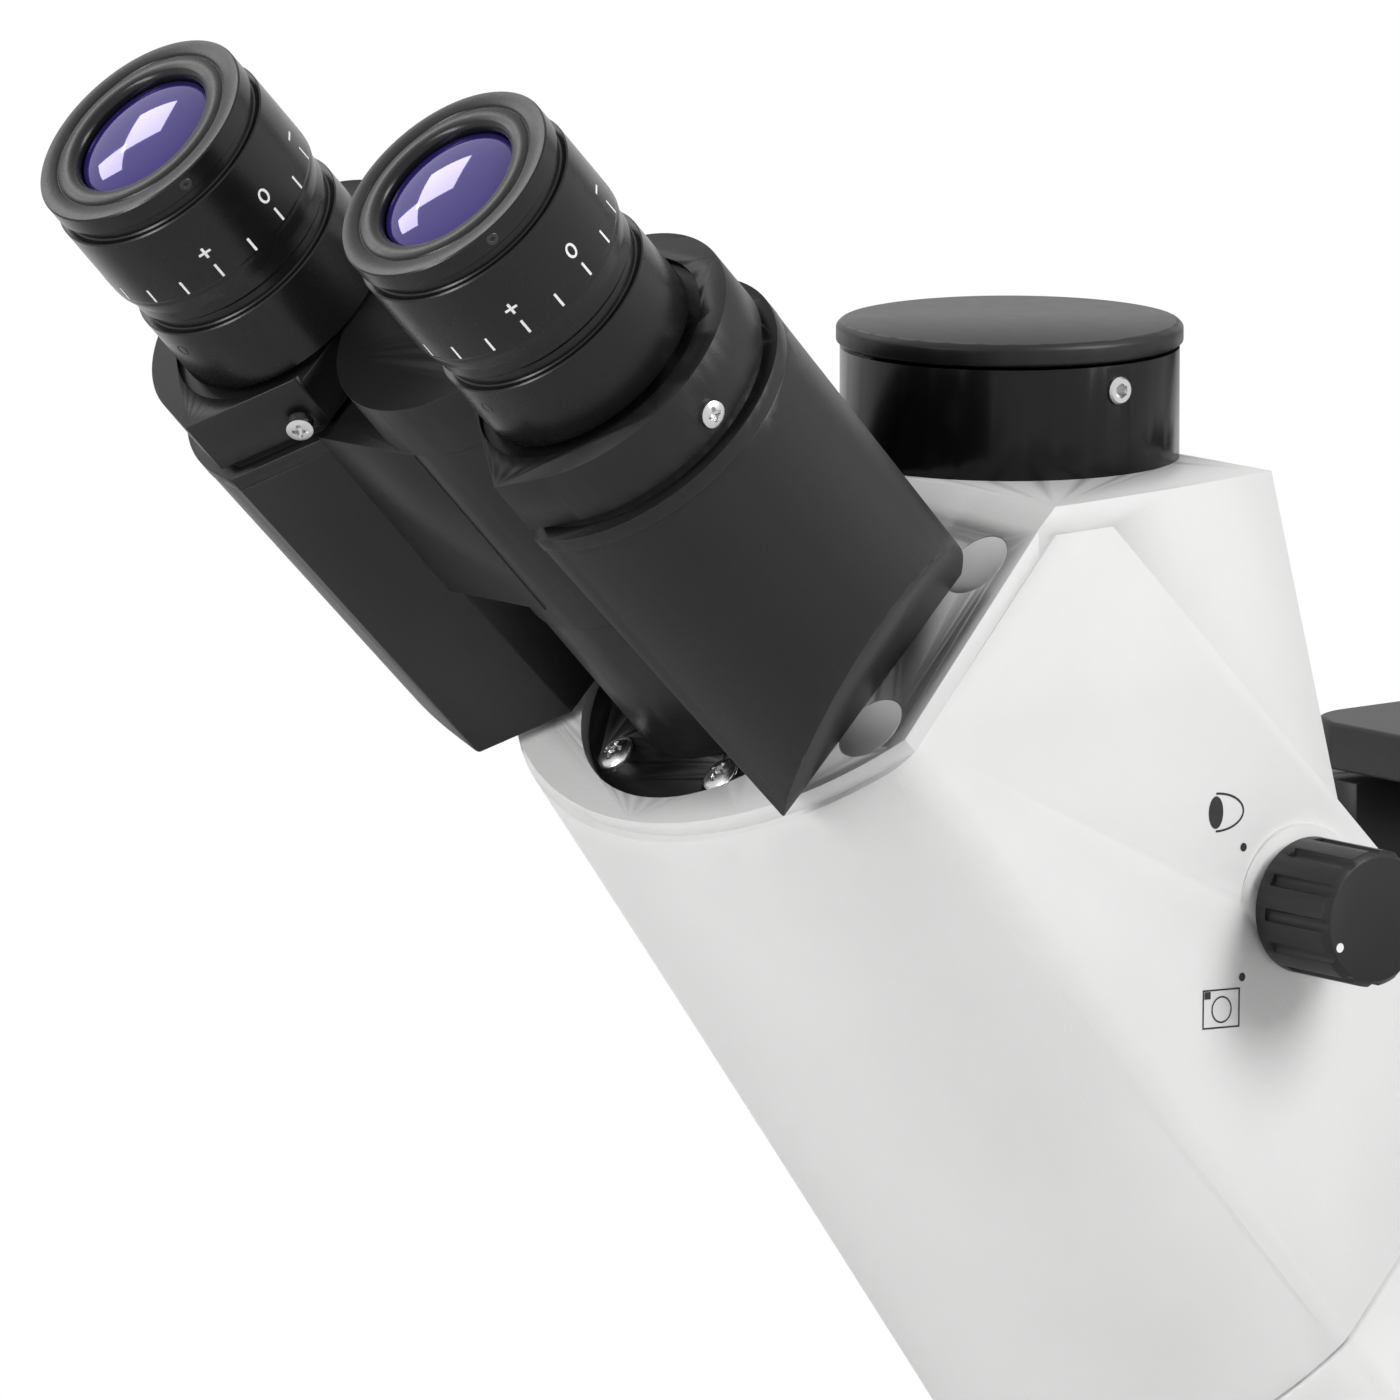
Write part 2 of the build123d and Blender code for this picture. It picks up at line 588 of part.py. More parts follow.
def make_selector():
    axis = Pos(0, HEAD_Y + KNOB_BACK, HEAD_HEIGHT - KNOB_DOWN)
    face = knob_face() + GAP
    knob = turned([(0, face), (KNOB_R - 0.8, face), (KNOB_R, face + 0.8), (KNOB_R, face + KNOB_LENGTH - 1),
                   (KNOB_R - 1, face + KNOB_LENGTH), (0, face + KNOB_LENGTH)])
    knob = fluted(knob, KNOB_R + 0.3, KNOB_FLUTES, KNOB_FLUTE_R, face + 3, face + KNOB_LENGTH + 1)
    save("light_path_knob", axis * along_x(knob))
    swing = Vector(0, PORT_BACK - KNOB_BACK, KNOB_DOWN - PORT_BACK * tan(radians(TUBE_ANGLE)))
    angle = degrees(atan2(swing.Z, swing.Y))
    side = BEAM_PRISM / 2
    shaft = along_x(rod(KNOB_SHAFT_R, side + 1, face))
    arm = Rot(angle, 0, 0) * block(side, side + 4, -6, swing.length + 5, -6, 6)
    save("selector_shaft", axis * (shaft + arm))
    points = [(-side, -side), (side, -side), (side, side)]
    prism = side_cut(points, side)
    save("beam_prism", axis * Pos(0, swing.Y, swing.Z) * prism)


# Optics in the body

def make_optics():
    lens_place = HEAD * Pos(0, 0, -TUBE_LENS_DOWN)
    barrel = turned([(TUBE_LENS_R - 2, -12), (TUBE_LENS_R + 3, -12), (TUBE_LENS_R + 3, 12),
                     (TUBE_LENS_R + SEAT, 12), (TUBE_LENS_R + SEAT, -6), (TUBE_LENS_R - 2, -6)])
    for side in (-1, 1):
        barrel += block(*sorted((side * (TUBE_LENS_R + 2), side * (ARM_CAVITY_HALF - 0.6))), -5, 5, -3, 3)
    save("tube_lens_barrel", lens_place * barrel)
    save("tube_lens", lens_place * lens(TUBE_LENS_R, -6, -2, 2.5))
    half = MIRROR_HALF
    mirrors = [place * block(-half, half, -half, half, 0, MIRROR_THICK) for y, place in mirror_places()]
    save("path_mirrors", Part() + mirrors)


def mirror_places():
    """Where each mirror turns the beam, with the frame of its face."""
    turns = ((MIRROR_FRONT_Y, 180 - TUBE_ANGLE / 2), (OBJECTIVE_Y, -135))
    return [(y, Pos(0, y, PATH_HEIGHT) * Rot(lean, 0, 0)) for y, lean in turns]


def mirror_post(y, place):
    """Post on the base with the sloping rest that a mirror is glued to."""
    half = MIRROR_HALF
    rest = place * block(-half - 2, half + 2, -half + 3, half - 3, MIRROR_THICK, MIRROR_THICK + 4)
    foot = block(-half, half, y - 4, y + 4, BASE_TOP - 1, PATH_HEIGHT - 4)
    return rest + (foot - place * block(-60, 60, -60, 60, -60, MIRROR_THICK))


# Base and body

def base_outline(inset):
    length = HEAD_TO_REAR - BASE_FRONT
    outline = RectangleRounded(BASE_WIDTH - 2 * inset, length - 2 * inset, BASE_CORNER_R - inset)
    return Pos(0, HEAD_Y + BASE_FRONT + length / 2, 0) * outline


def foot_places():
    x = BASE_WIDTH / 2 - BASE_CORNER_R
    ends = (HEAD_Y + BASE_FRONT + BASE_CORNER_R, REAR_Y - BASE_CORNER_R)
    return [Pos(side, y, 0) for side in (-x, x) for y in ends]


def base_casting():
    """Low hollow foot of the stand, open below and rounded above."""
    body = flat(base_outline(0), BASE_LOW, BASE_TOP)
    body = fillet(body.faces().sort_by(Axis.Z)[-1].edges(), 6)
    body -= flat(base_outline(BASE_WALL), BASE_LOW - 1, BASE_TOP - BASE_WALL)
    panel = block(-62, 62, REAR_Y - 1.5, REAR_Y + 1, 12, 37)
    body -= panel
    body -= inlet_place() * block(-15 - SEAT, 15 + SEAT, -8, 1, -10 - SEAT, 10 + SEAT)
    body += switch_place() * block(-8, 8, -12, 0, -11, 11)
    body -= switch_place() * block(-6, 6, -11, 2, -9, 9)
    for y, place in mirror_places():
        body += mirror_post(y, place)
    dial_hole = dial_place() * along_x(rod(4 + RUNNING, -10, 1))
    return body - dial_hole


def inlet_place():
    return Pos(-35, REAR_Y - 1.5, 25)


def switch_place():
    return Pos(30, REAR_Y - 1.5, 25)


def dial_place():
    return Pos(BASE_WIDTH / 2, HEAD_Y + DIAL_BACK, 24)


def make_base():
    save("base_casting", base_casting())
    save("bottom_plate", flat(base_outline(0.5), FOOT_HEIGHT, BASE_LOW))
    feet = [place * rod(FOOT_R, 0, FOOT_HEIGHT) for place in foot_places()]
    save("rubber_feet", Part() + feet)
    inlet = inlet_place() * (block(-15, 15, -8, 0, -10, 10) - block(-12, 12, -7, 1, -7.5, 7.5))
    for x, z in ((-6, 2), (0, -2), (6, 2)):
        inlet += inlet_place() * block(x - 1, x + 1, -7.5, -1.5, z - 2, z + 2)
    save("power_inlet", inlet)
    rocker = Rot(0, 90, 0) * rod(8.4, -5.7, 5.7) & block(-6, 6, 0.2, 6.6, -8.4, 8.4)
    rocker -= Pos(0, 12.5, 5.5) * Rot(0, 90, 0) * rod(8, -7, 7)
    save("power_rocker", switch_place() * Pos(0, -6.6, 0) * Rot(ROCKER_TILT, 0, 0) * rocker)
    dial = turned([(0, 0.6), (DIAL_R, 0.6), (DIAL_R - 1, DIAL_LENGTH), (0, DIAL_LENGTH)])
    dial = fluted(dial, DIAL_R + 0.3, 16, 1.0, 2, DIAL_LENGTH + 1) + rod(4, -8, 1)
    save("brightness_dial", dial_place() * along_x(dial))
    save("body_frame", body_frame())


def body_frame():
    """Lower arm, deck, side walls and rear tower in one casting, hollow inside."""
    deck, top = BODY_DECK, FRAME_LOW
    outline = [(BODY_FRONT, BASE_TOP), (TOWER_REAR, BASE_TOP), (TOWER_REAR, top), (TOWER_FRONT, top),
               (TOWER_FRONT, deck), (205, deck)]
    body = side_cut([(HEAD_Y + y, z) for y, z in outline], BODY_HALF)
    walls = side_cut([(HEAD_Y + y, z) for y, z in ((262, deck), (TOWER_FRONT, deck), (TOWER_FRONT, top), (352, top))],
                     BODY_HALF)
    walls -= block(-BODY_HALF + 11, BODY_HALF - 11, -600, 600, deck, top)
    body += walls
    body = fillet(body.edges().filter_by(Axis.Z).group_by(Axis.Y)[0], 12)
    arm = arm_body(ARM_SEAM + SEAM_GAP, ARM_LENGTH) - below(BASE_TOP)
    body += arm
    wall = BODY_WALL
    half = BODY_HALF - wall
    lower = [(BODY_FRONT + 30, BASE_TOP - 1), (TOWER_REAR - wall, BASE_TOP - 1), (TOWER_REAR - wall, top - wall),
             (TOWER_FRONT + wall, top - wall), (TOWER_FRONT + wall, deck - wall), (222, deck - wall)]
    body -= side_cut([(HEAD_Y + y, z) for y, z in lower], half)
    body -= arm_body(ARM_SEAM - 1, ARM_LENGTH + 20, ARM_WALL) - below(BASE_TOP)
    body -= Pos(0, OBJECTIVE_Y, 0) * rod(BEAM_R, deck - wall - 1, deck + 1)
    axle = Pos(0, HEAD_Y + FOCUS_BACK, FOCUS_HEIGHT) * along_x(rod(COARSE_SHAFT_R + RUNNING, -100, 100))
    return body - axle


# Stage

def stage_outline(inset=0.0):
    outline = RectangleRounded(STAGE_WIDTH - 2 * inset, STAGE_DEPTH - 2 * inset, STAGE_CORNER_R)
    return Pos(0, HEAD_Y + STAGE_FRONT + STAGE_DEPTH / 2, 0) * outline


def make_stage():
    axis = Pos(0, OBJECTIVE_Y, 0)
    plate = flat(stage_outline(), STAGE_UNDER, STAGE_Z)
    plate -= axis * rod(STAGE_HOLE_R, STAGE_UNDER, STAGE_Z)
    plate -= axis * rod(INSERT_R + SEAT, STAGE_Z - INSERT_THICK, STAGE_Z)
    edge = STAGE_WIDTH / 2
    plate += block(edge - 1, edge + GUIDE_WIDTH, HEAD_Y + 210, HEAD_Y + 415, STAGE_UNDER, STAGE_Z)
    plate -= block(edge + GUIDE_WIDTH - 3, edge + GUIDE_WIDTH, -600, 600, STAGE_UNDER + 2.5, STAGE_Z - 2.5)
    save("stage_plate", plate)
    save("stage_insert", axis * pipe(INSERT_R, INSERT_HOLE_R, STAGE_Z - INSERT_THICK, STAGE_Z))
    inner_x = STAGE_WIDTH / 2 - FRAME_RAIL
    low = FRAME_LOW
    frame = flat(stage_outline(), low, FRAME_TOP)
    frame -= block(-inner_x, inner_x, -600, HEAD_Y + TOWER_FRONT, low, FRAME_TOP)
    front, back = HEAD_Y + STAGE_FRONT + 20, HEAD_Y + STAGE_FRONT + STAGE_DEPTH - 20
    for x in (-inner_x - FRAME_RAIL / 2, inner_x + FRAME_RAIL / 2):
        for y in (front, (front + back) / 2, back):
            frame += Pos(x, y, 0) * rod(5, FRAME_TOP - 1, STAGE_UNDER)
    save("stage_frame", frame)
    make_carriages(edge)


def make_carriages(edge):
    y0 = OBJECTIVE_Y - CARRIAGE_LENGTH / 2
    y1 = HEAD_Y + RAIL_BACK + RAIL_WIDTH / 2
    out = edge + CARRIAGE_OUT
    side = edge + GUIDE_WIDTH + 2 * RUNNING
    top = STAGE_Z + 2 * RUNNING
    carriage = block(edge + GAP, out, y0, y1, top, top + 8) + block(side, out, y0, y1, STAGE_UNDER - 12, top)
    carriage += block(side - 2.8, side, y0, y1, STAGE_UNDER + 2.6, STAGE_Z - 2.6)
    knob_y = y0 + CARRIAGE_LENGTH / 2
    carriage -= Pos(STAGE_KNOB_X, knob_y, 0) * rod(5 + RUNNING, STAGE_UNDER - 12, STAGE_UNDER)
    carriage -= Pos(STAGE_KNOB_X, knob_y, 0) * rod(3 + RUNNING, STAGE_UNDER, top + 2)
    rail_z = top + 8
    rail_y = HEAD_Y + RAIL_BACK
    rail = block(RAIL_LEFT, out, rail_y - RAIL_WIDTH / 2, rail_y + RAIL_WIDTH / 2, rail_z, rail_z + RAIL_HEIGHT)
    save("stage_y_carriage", carriage + rail)
    slot = RAIL_WIDTH / 2 + 2 * RUNNING
    low = STAGE_Z + 1.5
    slider = block(-22, 22, rail_y - RAIL_WIDTH / 2 - 6, rail_y + RAIL_WIDTH / 2 + 5, low, rail_z + RAIL_HEIGHT + 5)
    slider -= block(-23, 23, rail_y - slot, rail_y + slot, rail_z - 2 * RUNNING, rail_z + RAIL_HEIGHT + 2 * RUNNING)
    half = HOLDER_LENGTH / 2
    back = rail_y - RAIL_WIDTH / 2 - 6
    front = OBJECTIVE_Y - HOLDER_DEPTH / 2
    holder = block(-half, half, front, back + 2, low, low + HOLDER_THICK)
    holder -= block(-half + HOLDER_BAR, half - HOLDER_BAR, front + HOLDER_BAR, back - HOLDER_BAR - 4, low, low + 9)
    save("stage_x_slider", slider - holder)
    save("specimen_holder", holder - slider)
    place = Pos(STAGE_KNOB_X, knob_y, 0)
    upper = turned([(3 + RUNNING, 182), (14, 182), (14, 197), (5, 197), (5, STAGE_UNDER - 0.2),
                    (3 + RUNNING, STAGE_UNDER - 0.2)])
    save("stage_y_knob", place * fluted(upper, 14.3, 18, 1.0, 183, 196))
    lower = turned([(0, 162), (11, 162), (11, 181), (3, 181), (3, top + 1), (0, top + 1)])
    save("stage_x_knob", place * fluted(lower, 11.3, 14, 1.0, 163, 180))


# Nosepiece: one frame sits on the turret axis at the objectives' shoulders

def turret_frame():
    tilt = radians(TURRET_TILT)
    y = OBJECTIVE_Y - TURRET_PITCH_R * cos(tilt)
    return Pos(0, y, SHOULDER_Z - TURRET_PITCH_R * sin(tilt)) * Rot(TURRET_TILT, 0, 0)


def place_of(index):
    """Frame of one objective in the turret: its own axis leans out by the turret's tilt."""
    return Rot(0, 0, 360 / TURRET_PLACES * index) * Pos(0, TURRET_PITCH_R, 0) * Rot(-TURRET_TILT, 0, 0)


def objective(length, tip):
    r = OBJECTIVE_R
    return turned([(4, -5), (THREAD_R, -5), (THREAD_R, 0), (r, 0), (r, 4), (r - 1.4, 5), (r - 1.4, 7), (r, 8),
                   (r, length - 15), (r - 2, length - 12), (r - 2, length - 7), (tip, length - 1.5),
                   (tip - 1, length), (4, length)])


def make_nosepiece():
    frame = turret_frame()
    slope = tan(radians(TURRET_TILT))
    rim = (TURRET_R - TURRET_PITCH_R) * slope
    hub = TURRET_PITCH_R - 15
    turret = turned([(0, -TURRET_THICK), (TURRET_R - 2, -TURRET_THICK), (TURRET_R, -TURRET_THICK + 2),
                     (TURRET_R, -rim - 1), (TURRET_R - 1, -rim), (hub, (TURRET_PITCH_R - hub) * slope),
                     (0, (TURRET_PITCH_R - hub) * slope)])
    turret = fluted(turret, TURRET_R + 0.8, 30, 1.6, -TURRET_THICK - 1, 1)
    turret -= rod(TURRET_PIVOT_R + RUNNING, -TURRET_THICK, 2)
    for index in range(TURRET_PLACES - 1):
        turret -= place_of(index) * rod(THREAD_R + SEAT, -30, 6)
    cover = place_of(TURRET_PLACES - 1) * rod(OBJECTIVE_R, -2, 2.5)
    save("nosepiece_turret", frame * (turret + cover))
    for index, (name, (length, tip)) in enumerate(OBJECTIVES.items()):
        save(name, frame * place_of(index) * objective(length, tip))
    low = -TURRET_THICK - GAP
    carrier = frame * (rod(CARRIER_R, low - CARRIER_THICK, low) + rod(TURRET_PIVOT_R, low, 1.5))
    slide_y = HEAD_Y + TOWER_FRONT - GAP
    bracket = block(-20, 20, OBJECTIVE_Y, slide_y - SLIDE_THICK / 2, SHOULDER_Z - 50, SHOULDER_Z - 23)
    bracket -= frame * rod(TURRET_R + 4, low, low + 80)
    carrier += bracket
    slide = block(-SLIDE_HALF, SLIDE_HALF, slide_y - SLIDE_THICK, slide_y, SHOULDER_Z - 50, FRAME_LOW - 12)
    carrier += slide
    carrier -= Pos(0, OBJECTIVE_Y, 0) * rod(BEAM_R - 3, SHOULDER_Z - 60, SHOULDER_Z)
    save("nosepiece_carrier", carrier)


def make_focus():
    axis = Pos(0, HEAD_Y + FOCUS_BACK, FOCUS_HEIGHT)
    inner = BODY_HALF + GAP + 1
    outer = inner + COARSE_WIDTH
    sleeve = axis * along_x(pipe(COARSE_SHAFT_R, FINE_SHAFT_R + RUNNING, -outer + 2, outer - 2))
    knob = turned([(COARSE_SHAFT_R - 1, inner), (COARSE_R - 2, inner), (COARSE_R, inner + 2),
                   (COARSE_R, outer - 3), (COARSE_R - 3, outer), (COARSE_SHAFT_R - 1, outer)])
    knob = axis * along_x(fluted(knob, COARSE_R + 0.6, 24, 1.3, inner + 3, outer - 4))
    save("coarse_knobs", sleeve + knob + mirror(knob, Plane.YZ))
    shaft = axis * along_x(rod(FINE_SHAFT_R, -KNOB_REACH + 2, KNOB_REACH - 2))
    start = outer + GAP
    step = start + 16
    small = turned([(0, start), (FINE_R, start), (FINE_R, step), (FINE_R - 3, step + 2),
                    (FINE_R - 3, KNOB_REACH - 2), (FINE_R - 5, KNOB_REACH), (0, KNOB_REACH)])
    small = axis * along_x(fluted(small, FINE_R + 0.3, 18, 0.9, start + 2, step - 1))
    save("fine_knobs", shaft + small + mirror(small, Plane.YZ))


# Illumination

def make_illumination():
    front = HEAD_Y + PILLAR_FRONT
    rear = front + PILLAR_DEPTH
    pillar = block(-PILLAR_HALF, PILLAR_HALF, front, rear, BASE_TOP, PILLAR_TOP)
    pillar = fillet(pillar.edges().filter_by(Axis.Z), 10)
    inner = block(-PILLAR_HALF + 5, PILLAR_HALF - 5, front + 5, rear - 5, BASE_TOP, PILLAR_TOP)
    save("pillar", pillar - inner)
    arm_top = PILLAR_TOP + LAMP_ARM_HEIGHT
    house_front = HEAD_Y + LAMP_HOUSE_FRONT
    arm = block(-LAMP_ARM_HALF, LAMP_ARM_HALF, HEAD_Y + LAMP_ARM_FRONT, house_front, PILLAR_TOP, arm_top)
    arm = fillet(arm.edges().filter_by(Axis.Z).group_by(Axis.Y)[0], 24)
    arm = fillet(arm.faces().sort_by(Axis.Z)[-1].edges().sort_by(Axis.Y)[:-1], 5)
    hollow = block(-LAMP_ARM_HALF + 4, LAMP_ARM_HALF - 4, HEAD_Y + LAMP_ARM_FRONT + 10, house_front,
                   PILLAR_TOP + 4, arm_top - 4)
    arm = arm - hollow - Pos(0, OBJECTIVE_Y, 0) * rod(20, PILLAR_TOP - 1, PILLAR_TOP + 5)
    save("lamp_arm", arm)
    house = block(-LAMP_HOUSE_HALF, LAMP_HOUSE_HALF, house_front, REAR_Y - 2, PILLAR_TOP, LAMP_HOUSE_TOP)
    house = fillet(house.edges().filter_by(Axis.Z), 8)
    house = fillet(house.faces().sort_by(Axis.Z)[-1].edges(), 5)
    house -= block(-LAMP_HOUSE_HALF + 4, LAMP_HOUSE_HALF - 4, house_front + 4, REAR_Y - 6,
                   PILLAR_TOP + 4, LAMP_HOUSE_TOP - 4)
    house -= Pos(0, house_front, (PILLAR_TOP + arm_top) / 2) * Rot(90, 0, 0) * rod(15, -6, 6)
    for row in range(7):
        y = house_front + 16 + 7.5 * row
        house -= block(-60, 60, y, y + 3, PILLAR_TOP + 20, PILLAR_TOP + 44)
    save("lamp_house", house)
    axis = Pos(0, OBJECTIVE_Y, 0)
    low = PILLAR_TOP - FIELD_DROP
    barrel = turned([(21, low), (FIELD_R - 2, low), (FIELD_R - 2, low + 20), (FIELD_R + 4, low + 20),
                     (FIELD_R + 4, PILLAR_TOP), (20, PILLAR_TOP), (20, low + 8), (21, low + 8)])
    save("field_lens_barrel", axis * barrel)
    save("field_lens", axis * lens(21 - SEAT, low + 1, low + 5, 3.0))
    ring = pipe(FIELD_R + 3, FIELD_R - 2 + RUNNING, low + 4, low + 18)
    ring = fluted(ring, FIELD_R + 3.6, 24, 1.4, low + 7, low + 15)
    save("field_iris_ring", axis * ring)
    make_condenser(axis, front)


def make_condenser(axis, pillar_front):
    low = STAGE_Z + WORKING_DISTANCE
    top = low + CONDENSER_LENGTH
    seat = low + 48
    r = CONDENSER_R
    bracket = block(-14, 14, OBJECTIVE_Y, pillar_front, seat, seat + BRACKET_THICK)
    bracket += axis * rod(r + 9, seat, seat + BRACKET_THICK)
    bracket += block(-22, 22, pillar_front - 10, pillar_front, seat - 14, seat + BRACKET_THICK + 14)
    bracket -= axis * rod(r + SEAT, seat, seat + BRACKET_THICK)
    save("condenser_bracket", bracket)
    flange = seat + BRACKET_THICK
    slot = top - 8
    body = turned([(16, low), (21, low), (r, low + 14), (r, flange), (r + 6, flange), (r + 6, flange + 6),
                   (r - 4, flange + 6), (r - 4, flange + 17), (r + 4, flange + 17), (r + 4, top), (14, top),
                   (14, low + 9), (16, low + 9)])
    body -= block(-60, 60, -15, 15, slot - 7, slot)
    save("condenser_body", axis * body)
    save("condenser_lens", axis * lens(16 - SEAT, low + 1, low + 6, 2.5))
    ring = pipe(r + 3, r - 4 + RUNNING, flange + 6 + GAP, flange + 17 - GAP)
    ring += block(r, r + 22, -3, 3, flange + 9, flange + 14)
    save("aperture_ring", axis * ring)
    slider = block(-58, 58, -15 + 2 * RUNNING, 15 - 2 * RUNNING, slot - 7 + 2 * RUNNING, slot - 2 * RUNNING)
    for x in (-32, 0, 32):
        slider -= Pos(x, 0, 0) * rod(11, slot - 8, slot + 1)
    save("phase_slider", axis * slider)


make_head()
make_housing()
make_port()
make_selector()
make_optics()
make_base()
make_stage()
make_nosepiece()
make_focus()
make_illumination()
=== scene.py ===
import json
from math import cos, pi, radians, sin

import bpy
from mathutils import Matrix, Vector


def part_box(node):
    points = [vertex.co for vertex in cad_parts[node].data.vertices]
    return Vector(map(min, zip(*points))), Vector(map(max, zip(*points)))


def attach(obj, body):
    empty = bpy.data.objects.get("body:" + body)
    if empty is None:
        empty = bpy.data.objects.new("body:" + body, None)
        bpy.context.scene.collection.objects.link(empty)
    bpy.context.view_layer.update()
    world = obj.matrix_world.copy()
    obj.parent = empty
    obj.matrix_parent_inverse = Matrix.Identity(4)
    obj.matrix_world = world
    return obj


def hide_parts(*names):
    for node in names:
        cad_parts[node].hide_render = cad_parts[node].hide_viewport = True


# The part's frame is in metres. +Z is up, -Y faces the user, +X is the user's right.

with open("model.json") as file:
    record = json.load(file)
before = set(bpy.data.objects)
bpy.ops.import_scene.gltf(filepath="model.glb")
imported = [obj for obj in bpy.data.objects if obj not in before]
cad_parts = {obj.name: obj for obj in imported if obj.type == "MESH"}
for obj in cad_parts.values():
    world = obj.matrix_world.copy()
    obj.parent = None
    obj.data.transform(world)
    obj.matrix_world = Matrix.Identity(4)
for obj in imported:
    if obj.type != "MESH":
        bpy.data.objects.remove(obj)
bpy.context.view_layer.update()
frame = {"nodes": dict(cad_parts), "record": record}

TUBE_ANGLE = radians(46)
EYECUP_HEIGHT, EYECUP_R = 0.1264, 0.0184
EYE_OFFSET, EYE_FORWARD = 0.03775, 0.005
BODY_DEPTH, HEAD_HEIGHT = 0.490, 0.275
HEAD_TO_OBJECTIVE = 0.306
STAGE_TOP, PARFOCAL = 0.2316, 0.0446

REACH = EYECUP_HEIGHT * cos(TUBE_ANGLE) + (EYECUP_R + EYE_FORWARD) * sin(TUBE_ANGLE)
HINGE_FOOT = Vector((0, (REACH - BODY_DEPTH) / 2, HEAD_HEIGHT))
HEAD = Matrix.Translation(HINGE_FOOT) @ Matrix.Rotation(pi / 2 - TUBE_ANGLE, 4, "X")


# Shaders

class Socket:
    """A shader output that can be used in sums."""

    def __init__(self, shading, socket):
        self.shading = shading
        self.socket = socket

    def maths(self, operation, *values):
        return self.shading.node("ShaderNodeMath", {"operation": operation}, dict(enumerate(values)))

    def __add__(self, other):
        return self.maths("ADD", self, other)

    def __mul__(self, other):
        return self.maths("MULTIPLY", self, other)

    __radd__ = __add__
    __rmul__ = __mul__

    def greater(self, other):
        return self.maths("MAXIMUM", self, other)

    def between(self, low, high):
        """0 at low, 1 at high, held outside."""
        return self.shading.node("ShaderNodeMapRange", {"clamp": True}, {0: self, 1: low, 2: high})

    def output(self, name):
        """Another output of the node that this one belongs to."""
        return Socket(self.shading, self.socket.node.outputs[name])


class Shading:
    """A node tree and the one way in which nodes are added to it."""

    def __init__(self, owner):
        owner.use_nodes = True
        self.tree = owner.node_tree

    def node(self, kind, settings=None, inputs=None, output=0):
        made = self.tree.nodes.new(kind)
        for key, value in (settings or {}).items():
            setattr(made, key, value)
        for key, value in (inputs or {}).items():
            if isinstance(value, Socket):
                self.tree.links.new(value.socket, made.inputs[key])
            else:
                made.inputs[key].default_value = value
        return Socket(self, made.outputs[output])


class Finish(Shading):
    """One material: its node tree and its Principled shader."""

    def __init__(self, name, colour, roughness, metallic=0.0, **constants):
        self.material = bpy.data.materials.new(name)
        super().__init__(self.material)
        self.shader = self.tree.nodes["Principled BSDF"]
        self.shader.inputs["Base Color"].default_value = (*colour, 1)
        self.shader.inputs["Roughness"].default_value = roughness
        self.shader.inputs["Metallic"].default_value = metallic
        for label, value in constants.items():
            self.shader.inputs[label.replace("_", " ")].default_value = value

    def feed(self, name, value):
        self.tree.links.new(value.socket, self.shader.inputs[name])

    def noise(self, scale, detail=2.0, roughness=0.5):
        """Noise over the part's own frame, in metres."""
        place = self.node("ShaderNodeTexCoord", output=3)
        return self.node("ShaderNodeTexNoise", {"noise_dimensions": "3D"},
                         {"Vector": place, "Scale": scale, "Detail": detail, "Roughness": roughness})

    def bump(self, height, depth):
        self.feed("Normal", self.node("ShaderNodeBump", None, {"Height": height, "Distance": depth}))

    def tone(self, dark, light, scale, detail=3.0):
        """Base colour that drifts softly between two tones."""
        drift = self.noise(scale, detail).between(0.35, 0.65)
        self.feed("Base Color", self.node("ShaderNodeMix", {"data_type": "RGBA"},
                                          {0: drift, 6: (*dark, 1), 7: (*light, 1)}, 2))


def grey(value, warm=0.0):
    """A screen grey from 0 to 255 as a linear colour, a little warmer where warm is over 0."""
    share = value / 255
    base = share / 12.92 if share <= 0.04045 else ((share + 0.055) / 1.055) ** 2.4
    return (base * (1 + warm), base, base * (1 - warm))


def powder_paint(name, value, roughness, grain, depth, shine, warm=0.0):
    """Sprayed paint: an even colour with a fine grain that breaks up the shine."""
    finish = Finish(name, grey(value, warm), roughness, Specular_IOR_Level=shine)
    finish.tone(grey(value - 1.5, warm), grey(value + 1.5, warm), 25)
    fine = finish.noise(grain, 3.0, 0.6)
    finish.feed("Roughness", roughness - 0.05 + 0.1 * fine)
    finish.bump(fine + 0.5 * finish.noise(grain / 5), depth)
    return finish.material


def moulded_plastic(name, value, roughness):
    """Plastic with the fine dull spots of its mould."""
    finish = Finish(name, grey(value), roughness, Specular_IOR_Level=0.3)
    finish.tone(grey(value - 2), grey(value + 2), 60)
    finish.feed("Roughness", roughness - 0.03 + 0.06 * finish.noise(300))
    finish.bump(finish.noise(2600, 2.0, 0.55), 0.000008)
    return finish.material


def turned_metal(name, colour, roughness, depth=0.000006):
    """Bare metal with a faint uneven shine."""
    finish = Finish(name, colour, roughness, 1.0)
    finish.feed("Roughness", roughness - 0.05 + 0.14 * finish.noise(500))
    finish.bump(finish.noise(2200, 1.0, 0.4), depth)
    return finish.material


def coated_glass(name, colour, tint):
    """Dark glass under a tinted coating."""
    finish = Finish(name, colour, 0.03, IOR=1.6, Specular_Tint=(*tint, 1), Coat_Weight=1.0,
                    Coat_Roughness=0.02, Coat_Tint=(*tint, 1))
    finish.feed("Roughness", 0.02 + 0.05 * finish.noise(60))
    return finish.material


def rubber(name, value):
    """Dull rubber with a coarse grain."""
    finish = Finish(name, grey(value), 0.8)
    finish.tone(grey(value - 6), grey(value + 6), 300)
    finish.bump(finish.noise(1800, 3.0), 0.00003)
    return finish.material


